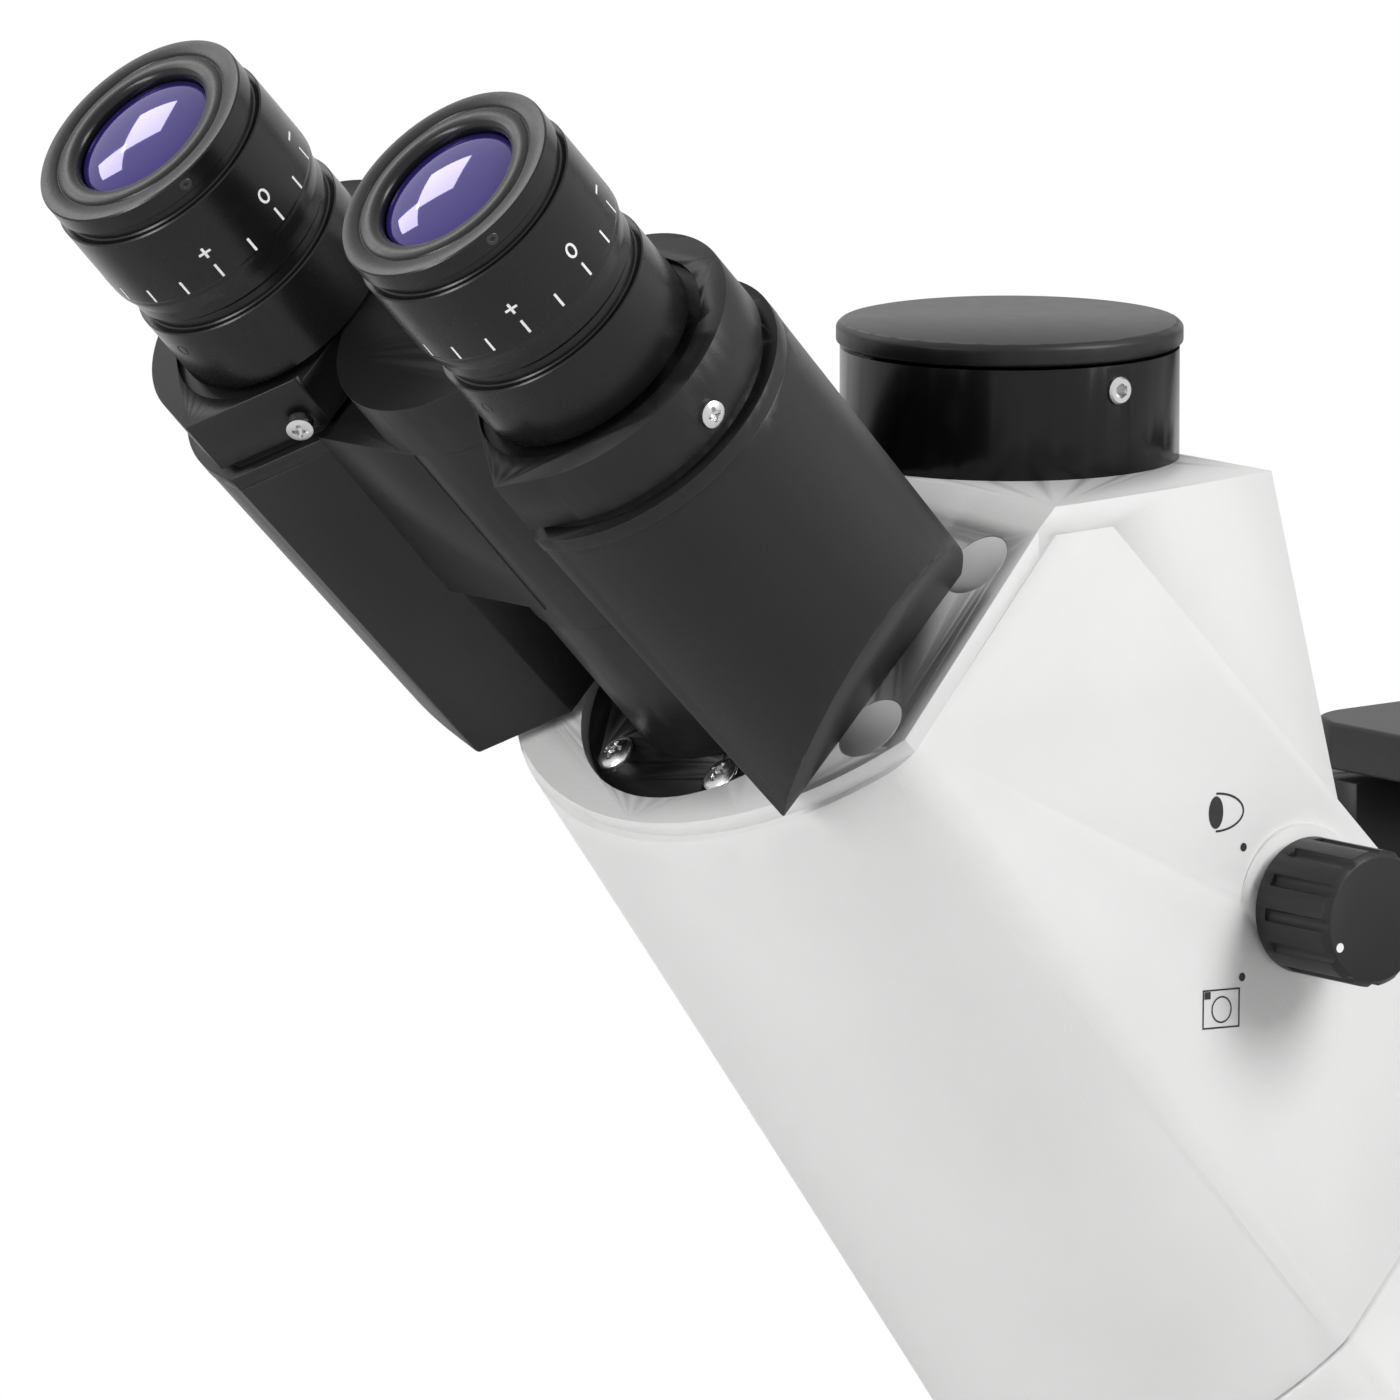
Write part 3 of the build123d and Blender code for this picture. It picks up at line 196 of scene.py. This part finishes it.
HOUSING_PAINT = powder_paint("housing_paint", 219, 0.45, 2200, 0.00003, 0.3, 0.004)
HEAD_PAINT = powder_paint("head_paint", 24, 0.4, 2600, 0.00003, 0.3)
PORT_BLACK = powder_paint("port_black", 17, 0.24, 2600, 0.00001, 0.22)
BRACKET_PAINT = powder_paint("bracket_paint", 30, 0.45, 2400, 0.00003, 0.3)
STAGE_PAINT = powder_paint("stage_paint", 27, 0.5, 2600, 0.00003, 0.3)
EYEPIECE_BLACK = moulded_plastic("eyepiece_black", 18, 0.27)
PLASTIC_BLACK = moulded_plastic("moulded_black", 26, 0.42)
ANODISED = turned_metal("anodised_flange", grey(62), 0.38)
STEEL = turned_metal("screw_steel", grey(200), 0.24)
STEEL_DARK = turned_metal("set_screw_steel", grey(70), 0.3)
CHROME = turned_metal("objective_chrome", grey(214), 0.14, 0.000003)
TURRET_METAL = turned_metal("turret_metal", grey(120), 0.32)
LENS = coated_glass("eye_lens_coating", (0.035, 0.02, 0.14), (0.55, 0.45, 1.0))
PRISM_GLASS = coated_glass("prism_glass", (0.2, 0.25, 0.28), (0.9, 1.0, 1.0))
MIRROR = turned_metal("path_mirror", grey(228), 0.05, 0.000001)
RUBBER = rubber("foot_rubber", 34)
WHITE_MARK = moulded_plastic("white_mark", 230, 0.5)
DARK_INK = moulded_plastic("dark_ink", 44, 0.5)

FINISHES = {
    "light_grey_paint": HOUSING_PAINT, "black_paint": BRACKET_PAINT, "stage_black": STAGE_PAINT,
    "black_plastic": PLASTIC_BLACK, "knob_plastic": PLASTIC_BLACK, "bright_steel": STEEL,
    "dark_flange": ANODISED, "chrome": CHROME, "turret_metal": TURRET_METAL, "lens_glass": PRISM_GLASS,
    "mirror_glass": MIRROR, "rubber": RUBBER,
}
OWN_FINISH = {
    "right_arm_casting": HEAD_PAINT, "left_arm_casting": HEAD_PAINT, "right_prism_cover": HEAD_PAINT,
    "left_prism_cover": HEAD_PAINT, "camera_port_tube": PORT_BLACK, "hinge_shaft": HEAD_PAINT,
    "right_eyepiece_tube": EYEPIECE_BLACK, "left_eyepiece_tube": EYEPIECE_BLACK,
    "right_dioptre_ring": EYEPIECE_BLACK, "left_dioptre_ring": EYEPIECE_BLACK,
    "right_eye_lens": LENS, "left_eye_lens": LENS, "port_cap": PLASTIC_BLACK, "light_path_knob": PLASTIC_BLACK,
}


# Finishes and edges of the solids

SMOOTH_BELOW = radians(32)
SHARP_ABOVE = radians(38)
FLAT_BELOW = radians(0.4)
WELD_REACH = 0.00001
COMMON_EDGE = 0.0003


def smoothing_group():
    """Shades curved faces smooth and keeps the real edges sharp."""
    group = bpy.data.node_groups.new("smooth_by_angle", "GeometryNodeTree")
    group.interface.new_socket("Geometry", in_out="INPUT", socket_type="NodeSocketGeometry")
    group.interface.new_socket("Geometry", in_out="OUTPUT", socket_type="NodeSocketGeometry")
    nodes, links = group.nodes, group.links
    start, end = nodes.new("NodeGroupInput"), nodes.new("NodeGroupOutput")
    faces, edges = nodes.new("GeometryNodeSetShadeSmooth"), nodes.new("GeometryNodeSetShadeSmooth")
    edges.domain = "EDGE"
    angle = nodes.new("GeometryNodeInputMeshEdgeAngle")
    limit = nodes.new("FunctionNodeCompare")
    limit.operation = "LESS_EQUAL"
    limit.inputs[1].default_value = SMOOTH_BELOW
    links.new(start.outputs[0], faces.inputs["Geometry"])
    links.new(faces.outputs[0], edges.inputs["Geometry"])
    links.new(angle.outputs[0], limit.inputs[0])
    links.new(limit.outputs[0], edges.inputs["Shade Smooth"])
    links.new(edges.outputs[0], end.inputs[0])
    return group


SMOOTH = smoothing_group()


def soften(thing, width):
    """Welds the facets, rounds the sharp edges a little and shades the curves smooth."""
    thing.modifiers.new("weld", "WELD").merge_threshold = WELD_REACH
    flat = thing.modifiers.new("flat_faces", "DECIMATE")
    flat.decimate_type, flat.angle_limit = "DISSOLVE", FLAT_BELOW
    bevel = thing.modifiers.new("edge", "BEVEL")
    bevel.width, bevel.segments = width, 2
    bevel.limit_method, bevel.angle_limit = "ANGLE", SHARP_ABOVE
    bevel.harden_normals = True
    thing.modifiers.new("smooth", "NODES").node_group = SMOOTH


EDGE = {
    "arm_housing": 0.0008, "top_cover": 0.0010, "right_arm_casting": 0.0004, "left_arm_casting": 0.0004,
    "right_prism_cover": 0.0006, "left_prism_cover": 0.0006, "base_casting": 0.001, "body_frame": 0.0015,
    "stage_plate": 0.0006, "stage_frame": 0.0008, "pillar": 0.001, "lamp_house": 0.0005, "lamp_arm": 0.001,
}
slot_of = {row["node"]: row["material_slot"] for row in frame["record"]["subparts"]}
for name, node in frame["nodes"].items():
    node.data.materials.clear()
    node.data.materials.append(OWN_FINISH.get(name) or FINISHES[slot_of[name]])
    soften(node, EDGE.get(name, COMMON_EDGE))


# Making pieces

def piece(name, body, points, faces, material, stands_for=(), smooth=True, place=Matrix.Identity(4)):
    """A mesh piece in millimetres, put in place and made to ride on a body."""
    mesh = bpy.data.meshes.new(name)
    mesh.from_pydata([place @ (Vector(point) / 1000) for point in points], [], faces)
    mesh.materials.append(material)
    made = bpy.data.objects.new(name, mesh)
    bpy.context.scene.collection.objects.link(made)
    if smooth:
        mesh.shade_smooth()
        made.modifiers.new("smooth", "NODES").node_group = SMOOTH
    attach(made, body)
    if stands_for:
        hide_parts(*stands_for)
    return made


def eased(profile, width):
    """Cuts a small flat on every corner of a profile, so that the turned edges catch the light."""
    count = len(profile)
    out = []
    for index in range(count):
        before, here, after = (Vector(profile[(index + step) % count]) for step in (-1, 0, 1))
        if here.x < 1e-6:
            out.append(tuple(here))
            continue
        for other in (before, after):
            run = other - here
            out.append(tuple(here + run * min(width / run.length, 0.4)))
    return out


def lathe(profile, steps=144):
    """Points and faces of a closed (radius, height) profile turned about Z."""
    count = len(profile)
    points = [(r * cos(2 * pi * step / steps), r * sin(2 * pi * step / steps), z)
              for step in range(steps) for r, z in profile]
    faces = [(step * count + index, ((step + 1) % steps) * count + index,
              ((step + 1) % steps) * count + (index + 1) % count, step * count + (index + 1) % count)
             for step in range(steps) for index in range(count)]
    return points, faces


def turned(name, body, profile, material, place, ease=0.15, stands_for=(), steps=144):
    """A turned piece with its corners eased."""
    return piece(name, body, *lathe(eased(profile, ease), steps), material, stands_for, True, place)


def wrapped(outline_sets, radius, angle, height):
    """Flat strips laid on a cylinder: each outline is (across, up) points in millimetres."""
    points, faces = [], []
    for outline in outline_sets:
        first = len(points)
        for across, up in outline:
            turn = angle + across / radius
            points.append((radius * cos(turn), radius * sin(turn), height + up))
        faces.append(tuple(range(first, len(points))))
    return points, faces


def dome(radius, rise, base, steps):
    """Profile of a shallow round top, from its centre to its rim."""
    turns = [step / steps * pi / 2 for step in range(steps + 1)]
    return [(radius * sin(turn), base + rise * cos(turn)) for turn in turns]


def on_round(axis, turn, radius, height):
    """Place on a cylinder, in metres, with Z pointing out of its wall."""
    return (axis @ Matrix.Rotation(turn, 4, "Z") @ Matrix.Translation((radius, 0, height))
            @ Matrix.Rotation(pi / 2, 4, "Y"))


def bar(x0, y0, x1, y1, width):
    """A straight line of this width as a four-sided outline."""
    run = Vector((x1 - x0, y1 - y0)).normalized() * width / 2
    side = Vector((-run.y, run.x))
    return [(x0 - side.x, y0 - side.y), (x1 - side.x, y1 - side.y), (x1 + side.x, y1 + side.y),
            (x0 + side.x, y0 + side.y)]


def loop(centre, half_wide, half_high, width, steps=28):
    """An oval line as a row of four-sided outlines."""
    out = []
    for step in range(steps):
        corners = []
        for turn, edge in ((step, -1), (step + 1, -1), (step + 1, 1), (step, 1)):
            angle = 2 * pi * turn / steps
            corners.append((centre[0] + (half_wide + edge * width / 2) * cos(angle),
                            centre[1] + (half_high + edge * width / 2) * sin(angle)))
        out.append(corners)
    return out


# Eyepieces

GRIP_R = 18.8
MARK_LIFT = 0.03
TICK_GAP, MARKS_START = 19.6, 2
TICK_HEIGHT, ZERO_HEIGHT, SIGN_HEIGHT = 109.0, 113.2, 113.0
LENS_R, LENS_RISE, LENS_BASE = 11.75, 1.9, 124.2
EYECUP_SCREW_TURN, EYECUP_SCREW_HEIGHT = radians(-23), 0.1246
TUBE_SCREW_HEIGHT = 0.0955


def dioptre_marks():
    """Ticks round the ring with 0, + and - over three of them, as (outlines, angle, height)."""
    out = [([bar(0, -1.35, 0, 1.35, 0.42)], radians(MARKS_START + TICK_GAP * index), TICK_HEIGHT)
           for index in range(-8, 9)]
    out.append((loop((0, 0), 0.75, 1.15, 0.42), radians(MARKS_START), ZERO_HEIGHT))
    across = bar(-1.05, 0, 1.05, 0, 0.45)
    out.append(([across, bar(0, -1.05, 0, -0.225, 0.45), bar(0, 0.225, 0, 1.05, 0.45)],
                radians(MARKS_START - 2 * TICK_GAP), SIGN_HEIGHT))
    out.append(([across], radians(MARKS_START + 2 * TICK_GAP), SIGN_HEIGHT))
    return out


def make_eyepiece(side, name):
    """One eyepiece: tube, dioptre ring with its marks, lens and two small screws."""
    eye = HEAD @ Matrix.Translation((EYE_OFFSET * side, -EYE_FORWARD, 0))
    arm, ring = f"{name}_arm", f"{name}_dioptre"
    turned(f"{name}_eyepiece_tube", arm, [
        (12.5, 76.0), (15.2, 76.0), (15.2, 86.4), (18.4, 86.4), (18.4, 99.5), (17.2, 99.5), (17.2, 101.5),
        (14.0, 101.5), (14.0, 112.5), (12.5, 112.5)], EYEPIECE_BLACK, eye, 0.2, (f"{name}_eyepiece_tube",))
    turned(f"{name}_dioptre_ring", ring, [
        (17.8, 101.8), (17.8, 104.0), (18.72, 106.5), (18.72, 107.35), (GRIP_R, 107.45), (GRIP_R, 121.0),
        (17.6, 121.0), (17.6, 123.0), (18.4, 123.0), (18.4, 126.4), (15.55, 126.4), (15.4, 126.1),
        (15.1, 126.1), (14.95, 126.4), (12.4, 126.4), (11.8, 125.6), (11.8, 124.0), (13.02, 124.0),
        (13.02, 117.0), (12.0, 117.0), (12.0, 113.0), (14.05, 113.0), (14.05, 101.8)],
        EYEPIECE_BLACK, eye, 0.22, (f"{name}_dioptre_ring",))
    points, faces = [], []
    for outlines, angle, height in dioptre_marks():
        some, sides = wrapped(outlines, GRIP_R + MARK_LIFT, angle, height)
        faces += [tuple(index + len(points) for index in face) for face in sides]
        points += some
    piece(f"{name}_dioptre_marks", ring, points, faces, WHITE_MARK, (), False, eye)
    lens = dome(LENS_R, LENS_RISE, LENS_BASE, 24)
    lens += [(LENS_R, 123.95), (13.0, 123.95), (13.0, 117.0), (0.0, 117.0)]
    piece(f"{name}_eye_lens", ring, *lathe(lens, 96), LENS, (f"{name}_eye_lens",), True, eye)
    turned(f"{name}_tube_screw", arm, [
        (0.0, -0.6), (1.1, -0.6), (1.1, 0.04), (0.75, 0.04), (0.7, -0.3), (0.0, -0.3)],
        DARK_INK, on_round(eye, -pi / 2, EYECUP_R, TUBE_SCREW_HEIGHT), 0.05, (), 24)
    turned(f"{name}_eyecup_screw", ring, [(0.35, -0.9), (1.0, -0.9), (1.0, 0.03), (0.35, 0.03)],
           STEEL_DARK, on_round(eye, EYECUP_SCREW_TURN, EYECUP_R, EYECUP_SCREW_HEIGHT), 0.08, (), 24)


# Screws of the head and the port

FLANGE_SCREWS, FLANGE_SCREW_CIRCLE, FLANGE_SCREW_SEAT = 6, 0.026, 0.0023
COLLAR_R, COLLAR_SCREW_HEIGHT = 0.0247, 0.0788
PORT_BACK, PORT_SCREW_UP = 0.0513, 0.041


def cross_screw(name, body, place, radius, rise, turn, shank=0.7):
    """Raised screw head with a cross recess, as a height over rings and spokes."""
    rings, spokes = 22, 72
    reach, half, depth = radius * 0.56, radius * 0.13, radius * 0.5
    points = [(0, 0, rise - depth)]
    for ring in range(1, rings + 1):
        r = radius * ring / rings
        for spoke in range(spokes):
            angle = 2 * pi * spoke / spokes
            x, y = r * cos(angle + turn), r * sin(angle + turn)
            near = min(abs(x), abs(y))
            wide = half * (1.5 - max(abs(x), abs(y)) / reach * 0.6)
            inside = max(0.0, min(1.0, (wide - near) / (radius * 0.05) + 0.5))
            inside *= max(0.0, min(1.0, (reach - r) / (radius * 0.08) + 0.5))
            height = rise * (1 - (r / radius) ** 2.6)
            sunk = inside * depth * (1 - 0.6 * r / reach)
            points.append((r * cos(angle), r * sin(angle), height - sunk))
    points += [(radius * cos(2 * pi * s / spokes), radius * sin(2 * pi * s / spokes), -shank)
               for s in range(spokes)]
    faces = [(0, 1 + s, 1 + (s + 1) % spokes) for s in range(spokes)]
    for ring in range(rings):
        low = 1 + ring * spokes
        high = low + spokes
        faces += [(low + s, high + s, high + (s + 1) % spokes, low + (s + 1) % spokes) for s in range(spokes)]
    piece(name, body, points, faces, STEEL, (), True, place)


def make_head_screws():
    """Six screws in the flange and one in each eyepiece collar."""
    for index in range(FLANGE_SCREWS):
        turn = 2 * pi * index / FLANGE_SCREWS
        place = HEAD @ Matrix.Translation((FLANGE_SCREW_CIRCLE * cos(turn), FLANGE_SCREW_CIRCLE * sin(turn),
                                           FLANGE_SCREW_SEAT))
        cross_screw(f"flange_screw_head_{index}", "stand", place, 2.9, 0.75, turn * 1.7 + 0.5)
    for side, name, turn, proud in ((1, "right", radians(-3.5), 0.0006), (-1, "left", radians(308), -0.0016)):
        eye = HEAD @ Matrix.Translation((EYE_OFFSET * side, -EYE_FORWARD, 0))
        place = on_round(eye, turn, COLLAR_R + proud, COLLAR_SCREW_HEIGHT)
        cross_screw(f"{name}_collar_screw_head", f"{name}_arm", place, 2.1, 0.45, 0.4, 1.8)


def make_set_screw():
    """Headless screw with a six-sided socket, in the side of the camera port."""
    outer, socket, steps = 2.2, 1.25, 48
    points = []
    for step in range(steps):
        turn = 2 * pi * step / steps
        corner = socket * cos(pi / 6) / cos(turn % (pi / 3) - pi / 6)
        profile = ((outer, 23.0), (outer, 26.95), (1.9, 27.3), (corner, 27.3), (corner, 25.7), (0.0, 25.7))
        points += [(r * cos(turn), r * sin(turn), z) for r, z in profile]
    count = len(profile)
    faces = []
    for step in range(steps):
        here, there = count * step, count * ((step + 1) % steps)
        faces += [(here + k, there + k, there + k + 1, here + k + 1) for k in range(count - 1)]
    place = (Matrix.Translation(HINGE_FOOT + Vector((0, PORT_BACK, PORT_SCREW_UP)))
             @ Matrix.Rotation(pi / 2, 4, "Y"))
    piece("port_set_screw", "stand", points, faces, STEEL, (), True, place)


# Marks on the side panel

PRINT_LIFT, PRINT_TURN = 0.06, 0.06
PRINT_START = 80
INDEX_DOTS = ((61.1, -29.8), (59.9, -50.1))
KNOB_AXIS_BACK, KNOB_AXIS_UP = 72.5, -39.9
KNOB_DOT_CIRCLE, KNOB_DOT_TURN, KNOB_DOT_LIFT = 8.6, radians(205), 0.00004


def disc(radius, steps=32):
    return [(radius * cos(2 * pi * step / steps), radius * sin(2 * pi * step / steps)) for step in range(steps)]


def on_side(back, up):
    """Point of the white right side at this distance behind and above the hinge foot, in millimetres."""
    start = HINGE_FOOT + Vector((PRINT_START, back, up)) / 1000
    found = []
    for name in ("arm_housing", "top_cover"):
        node = frame["nodes"][name]
        inward = node.matrix_world.inverted()
        hit, where, _, _ = node.ray_cast(inward @ start, inward.to_3x3() @ Vector((-1, 0, 0)))
        if hit:
            found.append(node.matrix_world @ where)
    nearest = max(found, key=lambda where: where.x)
    return (nearest.x * 1000 + PRINT_LIFT, nearest.y * 1000, nearest.z * 1000)


def printed(name, outlines, back, up):
    """Thin marks laid on the side, turned a little as in the print."""
    points, faces = [], []
    for outline in outlines:
        faces.append(tuple(range(len(points), len(points) + len(outline))))
        points += [on_side(back + x + PRINT_TURN * y, up + y - PRINT_TURN * x) for x, y in outline]
    piece(name, "stand", points, faces, DARK_INK, (), False)


def make_panel_marks():
    """Two index dots, the eye and the camera on the right side."""
    bpy.context.view_layer.update()
    for index, (back, up) in enumerate(INDEX_DOTS):
        printed(f"selector_index_{index}", [disc(0.68)], back, up)
    steps = [radians(-90 + 9 * step) for step in range(21)]
    shell = [(5.9 * cos(turn), 2.95 * sin(turn)) for turn in steps]
    eye = [bar(*first, *second, 0.34) for first, second in zip(shell, shell[1:])]
    for low, high in zip(steps, steps[1:]):
        eye.append([(-1.55 * cos(low), 2.55 * sin(low)), (1.55 * cos(low), 2.55 * sin(low)),
                    (1.55 * cos(high), 2.55 * sin(high)), (-1.55 * cos(high), 2.55 * sin(high))])
    printed("eye_symbol", eye, 55.4, -23.7)
    box = [bar(-3.85, -2.95, 3.85, -2.95, 0.26), bar(-3.85, 2.95, 3.85, 2.95, 0.26),
           bar(-3.85, -3.08, -3.85, 3.08, 0.28), bar(3.85, -3.08, 3.85, 3.08, 0.28),
           [(-3.6, 1.6), (-2.3, 1.6), (-2.3, 2.75), (-3.6, 2.75)]]
    box += loop((0.1, -0.15), 2.05, 2.0, 0.26)
    printed("camera_symbol", box, 55.2, -54.5)


def make_knob_dot():
    """White index dot on the outer face of the light path knob."""
    centre = HINGE_FOOT + Vector((0, KNOB_AXIS_BACK + KNOB_DOT_CIRCLE * cos(KNOB_DOT_TURN),
                                  KNOB_AXIS_UP + KNOB_DOT_CIRCLE * sin(KNOB_DOT_TURN))) / 1000
    centre.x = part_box("light_path_knob")[1][0] + KNOB_DOT_LIFT
    outline = disc(0.75)
    piece("knob_dot", "light_path_selector", [(x, y, 0) for x, y in outline], [tuple(range(len(outline)))],
          WHITE_MARK, (), False, Matrix.Translation(centre) @ Matrix.Rotation(pi / 2, 4, "Y"))


# Objectives

TURRET_TILT = radians(20)
TURRET_PLACES = 5
SEAT_CIRCLE = 0.030
TURRET = (Matrix.Translation((0, HINGE_FOOT.y + HEAD_TO_OBJECTIVE - SEAT_CIRCLE * cos(TURRET_TILT),
                              STAGE_TOP - PARFOCAL - SEAT_CIRCLE * sin(TURRET_TILT)))
          @ Matrix.Rotation(TURRET_TILT, 4, "X"))
OBJECTIVES = (("objective_4x", 30.0, 9.5, (0.5, 0.02, 0.015)), ("objective_10x", 36.0, 8.0, (0.75, 0.5, 0.02)),
              ("objective_20x", 39.0, 7.0, (0.02, 0.3, 0.05)), ("objective_40x", 40.0, 6.0, (0.03, 0.2, 0.6)))


def make_objective(index, name, length, tip, band_colour):
    """A turned barrel with its colour band and front lens, in its place on the turret."""
    place = (TURRET @ Matrix.Rotation(2 * pi / TURRET_PLACES * index, 4, "Z")
             @ Matrix.Translation((0, SEAT_CIRCLE, 0)) @ Matrix.Rotation(-TURRET_TILT, 4, "X"))
    turned(name, "turret", [
        (4, -5), (10.2, -5), (10.2, 0), (13.2, 0), (13.2, 3.6), (11.8, 4.4), (11.8, 6.6), (13.2, 7.4),
        (13.2, length - 15), (11.2, length - 12), (11.2, length - 10.6), (10.8, length - 10.4),
        (10.8, length - 8.8), (11.2, length - 8.6), (11.2, length - 7), (tip, length - 1.5), (tip - 1, length),
        (4, length)], CHROME, place, 0.25, (name,), 96)
    paint = Finish(f"{name}_band", band_colour, 0.4)
    paint.bump(paint.noise(900), 0.000006)
    turned(f"{name}_band_ring", "turret", [(10.7, length - 10.35), (11.05, length - 10.35),
                                           (11.05, length - 8.85), (10.7, length - 8.85)],
           paint.material, place, 0.05, (), 96)
    front = dome(4.0, 0.8, length - 1.6, 10) + [(4.0, length - 3), (0.0, length - 3)]
    piece(f"{name}_front_lens", "turret", *lathe(front, 48), LENS, (), True, place)


# Floor, lamps and camera

FLOOR_SIZE = 30.0
SHADOW_REACH, WHITE_FROM = 0.42, 0.6
LIGHT_STRENGTH, SEEN_STRENGTH = 0.26, 1.0
SOFTBOXES = (
    # name, azimuth, elevation, distance, width, height, watts
    ("rear_right", 116, 35, 1.5, 0.55, 0.9, 19),
    ("front", 0, 12, 1.6, 0.3, 1.0, 15),
    ("upper_left", -79, 40, 1.5, 0.24, 0.2, 0.9),
    ("upper_left_low", -70, 33, 1.5, 0.24, 0.2, 0.9),
)
CAMERA_AIM = Vector((0, -0.0112, -0.00483))
CAMERA_AZIMUTH, CAMERA_ELEVATION, CAMERA_DISTANCE = 51.055, 9.521, 3.0
SENSOR, LENS_LENGTH = 36.0, 496.5


def direction(azimuth, elevation):
    """From the part outwards. Azimuth 0 is on the user's side, 90 on the right."""
    a, e = radians(azimuth), radians(elevation)
    return Vector((sin(a) * cos(e), -cos(a) * cos(e), sin(e)))


def put(name, data, place, away):
    """Adds a lamp or camera that looks back along the direction away."""
    made = bpy.data.objects.new(name, data)
    made.location = place
    made.rotation_euler = (-away).to_track_quat("-Z", "Y").to_euler()
    bpy.context.scene.collection.objects.link(made)
    return made


def floor_finish():
    """Pale paint that keeps the shadow and turns into the white background farther out."""
    finish = Finish("floor_finish", grey(232), 0.6)
    place = finish.node("ShaderNodeNewGeometry")
    apart = finish.node("ShaderNodeVectorMath", {"operation": "LENGTH"}, {0: place}, 1)
    light = finish.node("ShaderNodeLightPath")
    seen = light + light.output("Is Glossy Ray") + light.output("Is Transmission Ray")
    white = finish.node("ShaderNodeEmission", None, {"Color": (1, 1, 1, 1), "Strength": 1.0})
    painted = Socket(finish, finish.shader.outputs[0])
    far_seen = seen * apart.between(SHADOW_REACH, WHITE_FROM)
    mixed = finish.node("ShaderNodeMixShader", None, {0: far_seen, 1: painted, 2: white})
    finish.tree.links.new(mixed.socket, finish.tree.nodes["Material Output"].inputs["Surface"])
    return finish.material


def make_floor():
    mesh = bpy.data.meshes.new("floor")
    half = FLOOR_SIZE / 2
    corners = [(-half, -half, 0), (half, -half, 0), (half, half, 0), (-half, half, 0)]
    mesh.from_pydata(corners, [], [(0, 1, 2, 3)])
    mesh.materials.append(floor_finish())
    floor = bpy.data.objects.new("floor", mesh)
    bpy.context.scene.collection.objects.link(floor)


def make_surround():
    """White where it is seen or mirrored, and a low even light on the part."""
    world = bpy.data.worlds.new("studio")
    bpy.context.scene.world = world
    sky = Shading(world)
    back = sky.tree.nodes["Background"]
    back.inputs["Color"].default_value = (1, 1, 1, 1)
    light = sky.node("ShaderNodeLightPath")
    seen = light.greater(light.output("Is Glossy Ray")).greater(light.output("Is Transmission Ray"))
    strength = sky.node("ShaderNodeMapRange", None,
                        {"Value": seen, "To Min": LIGHT_STRENGTH, "To Max": SEEN_STRENGTH})
    sky.tree.links.new(strength.socket, back.inputs["Strength"])


def make_softboxes():
    for name, azimuth, elevation, distance, wide, high, power in SOFTBOXES:
        data = bpy.data.lights.new(name, "AREA")
        data.shape = "RECTANGLE"
        data.size, data.size_y, data.energy = wide, high, power
        away = direction(azimuth, elevation)
        put(name, data, HINGE_FOOT + away * distance, away)


def make_camera():
    data = bpy.data.cameras.new("camera")
    data.sensor_width, data.lens = SENSOR, LENS_LENGTH
    data.clip_start, data.clip_end = 0.1, 100
    away = direction(CAMERA_AZIMUTH, CAMERA_ELEVATION)
    bpy.context.scene.camera = put("camera", data, HINGE_FOOT + CAMERA_AIM + CAMERA_DISTANCE * away, away)


for which, label in ((1, "right"), (-1, "left")):
    make_eyepiece(which, label)
make_head_screws()
make_set_screw()
make_panel_marks()
make_knob_dot()
for number, details in enumerate(OBJECTIVES):
    make_objective(number, *details)
make_floor()
make_surround()
make_softboxes()
make_camera()
bpy.context.scene.view_settings.view_transform = "Standard"
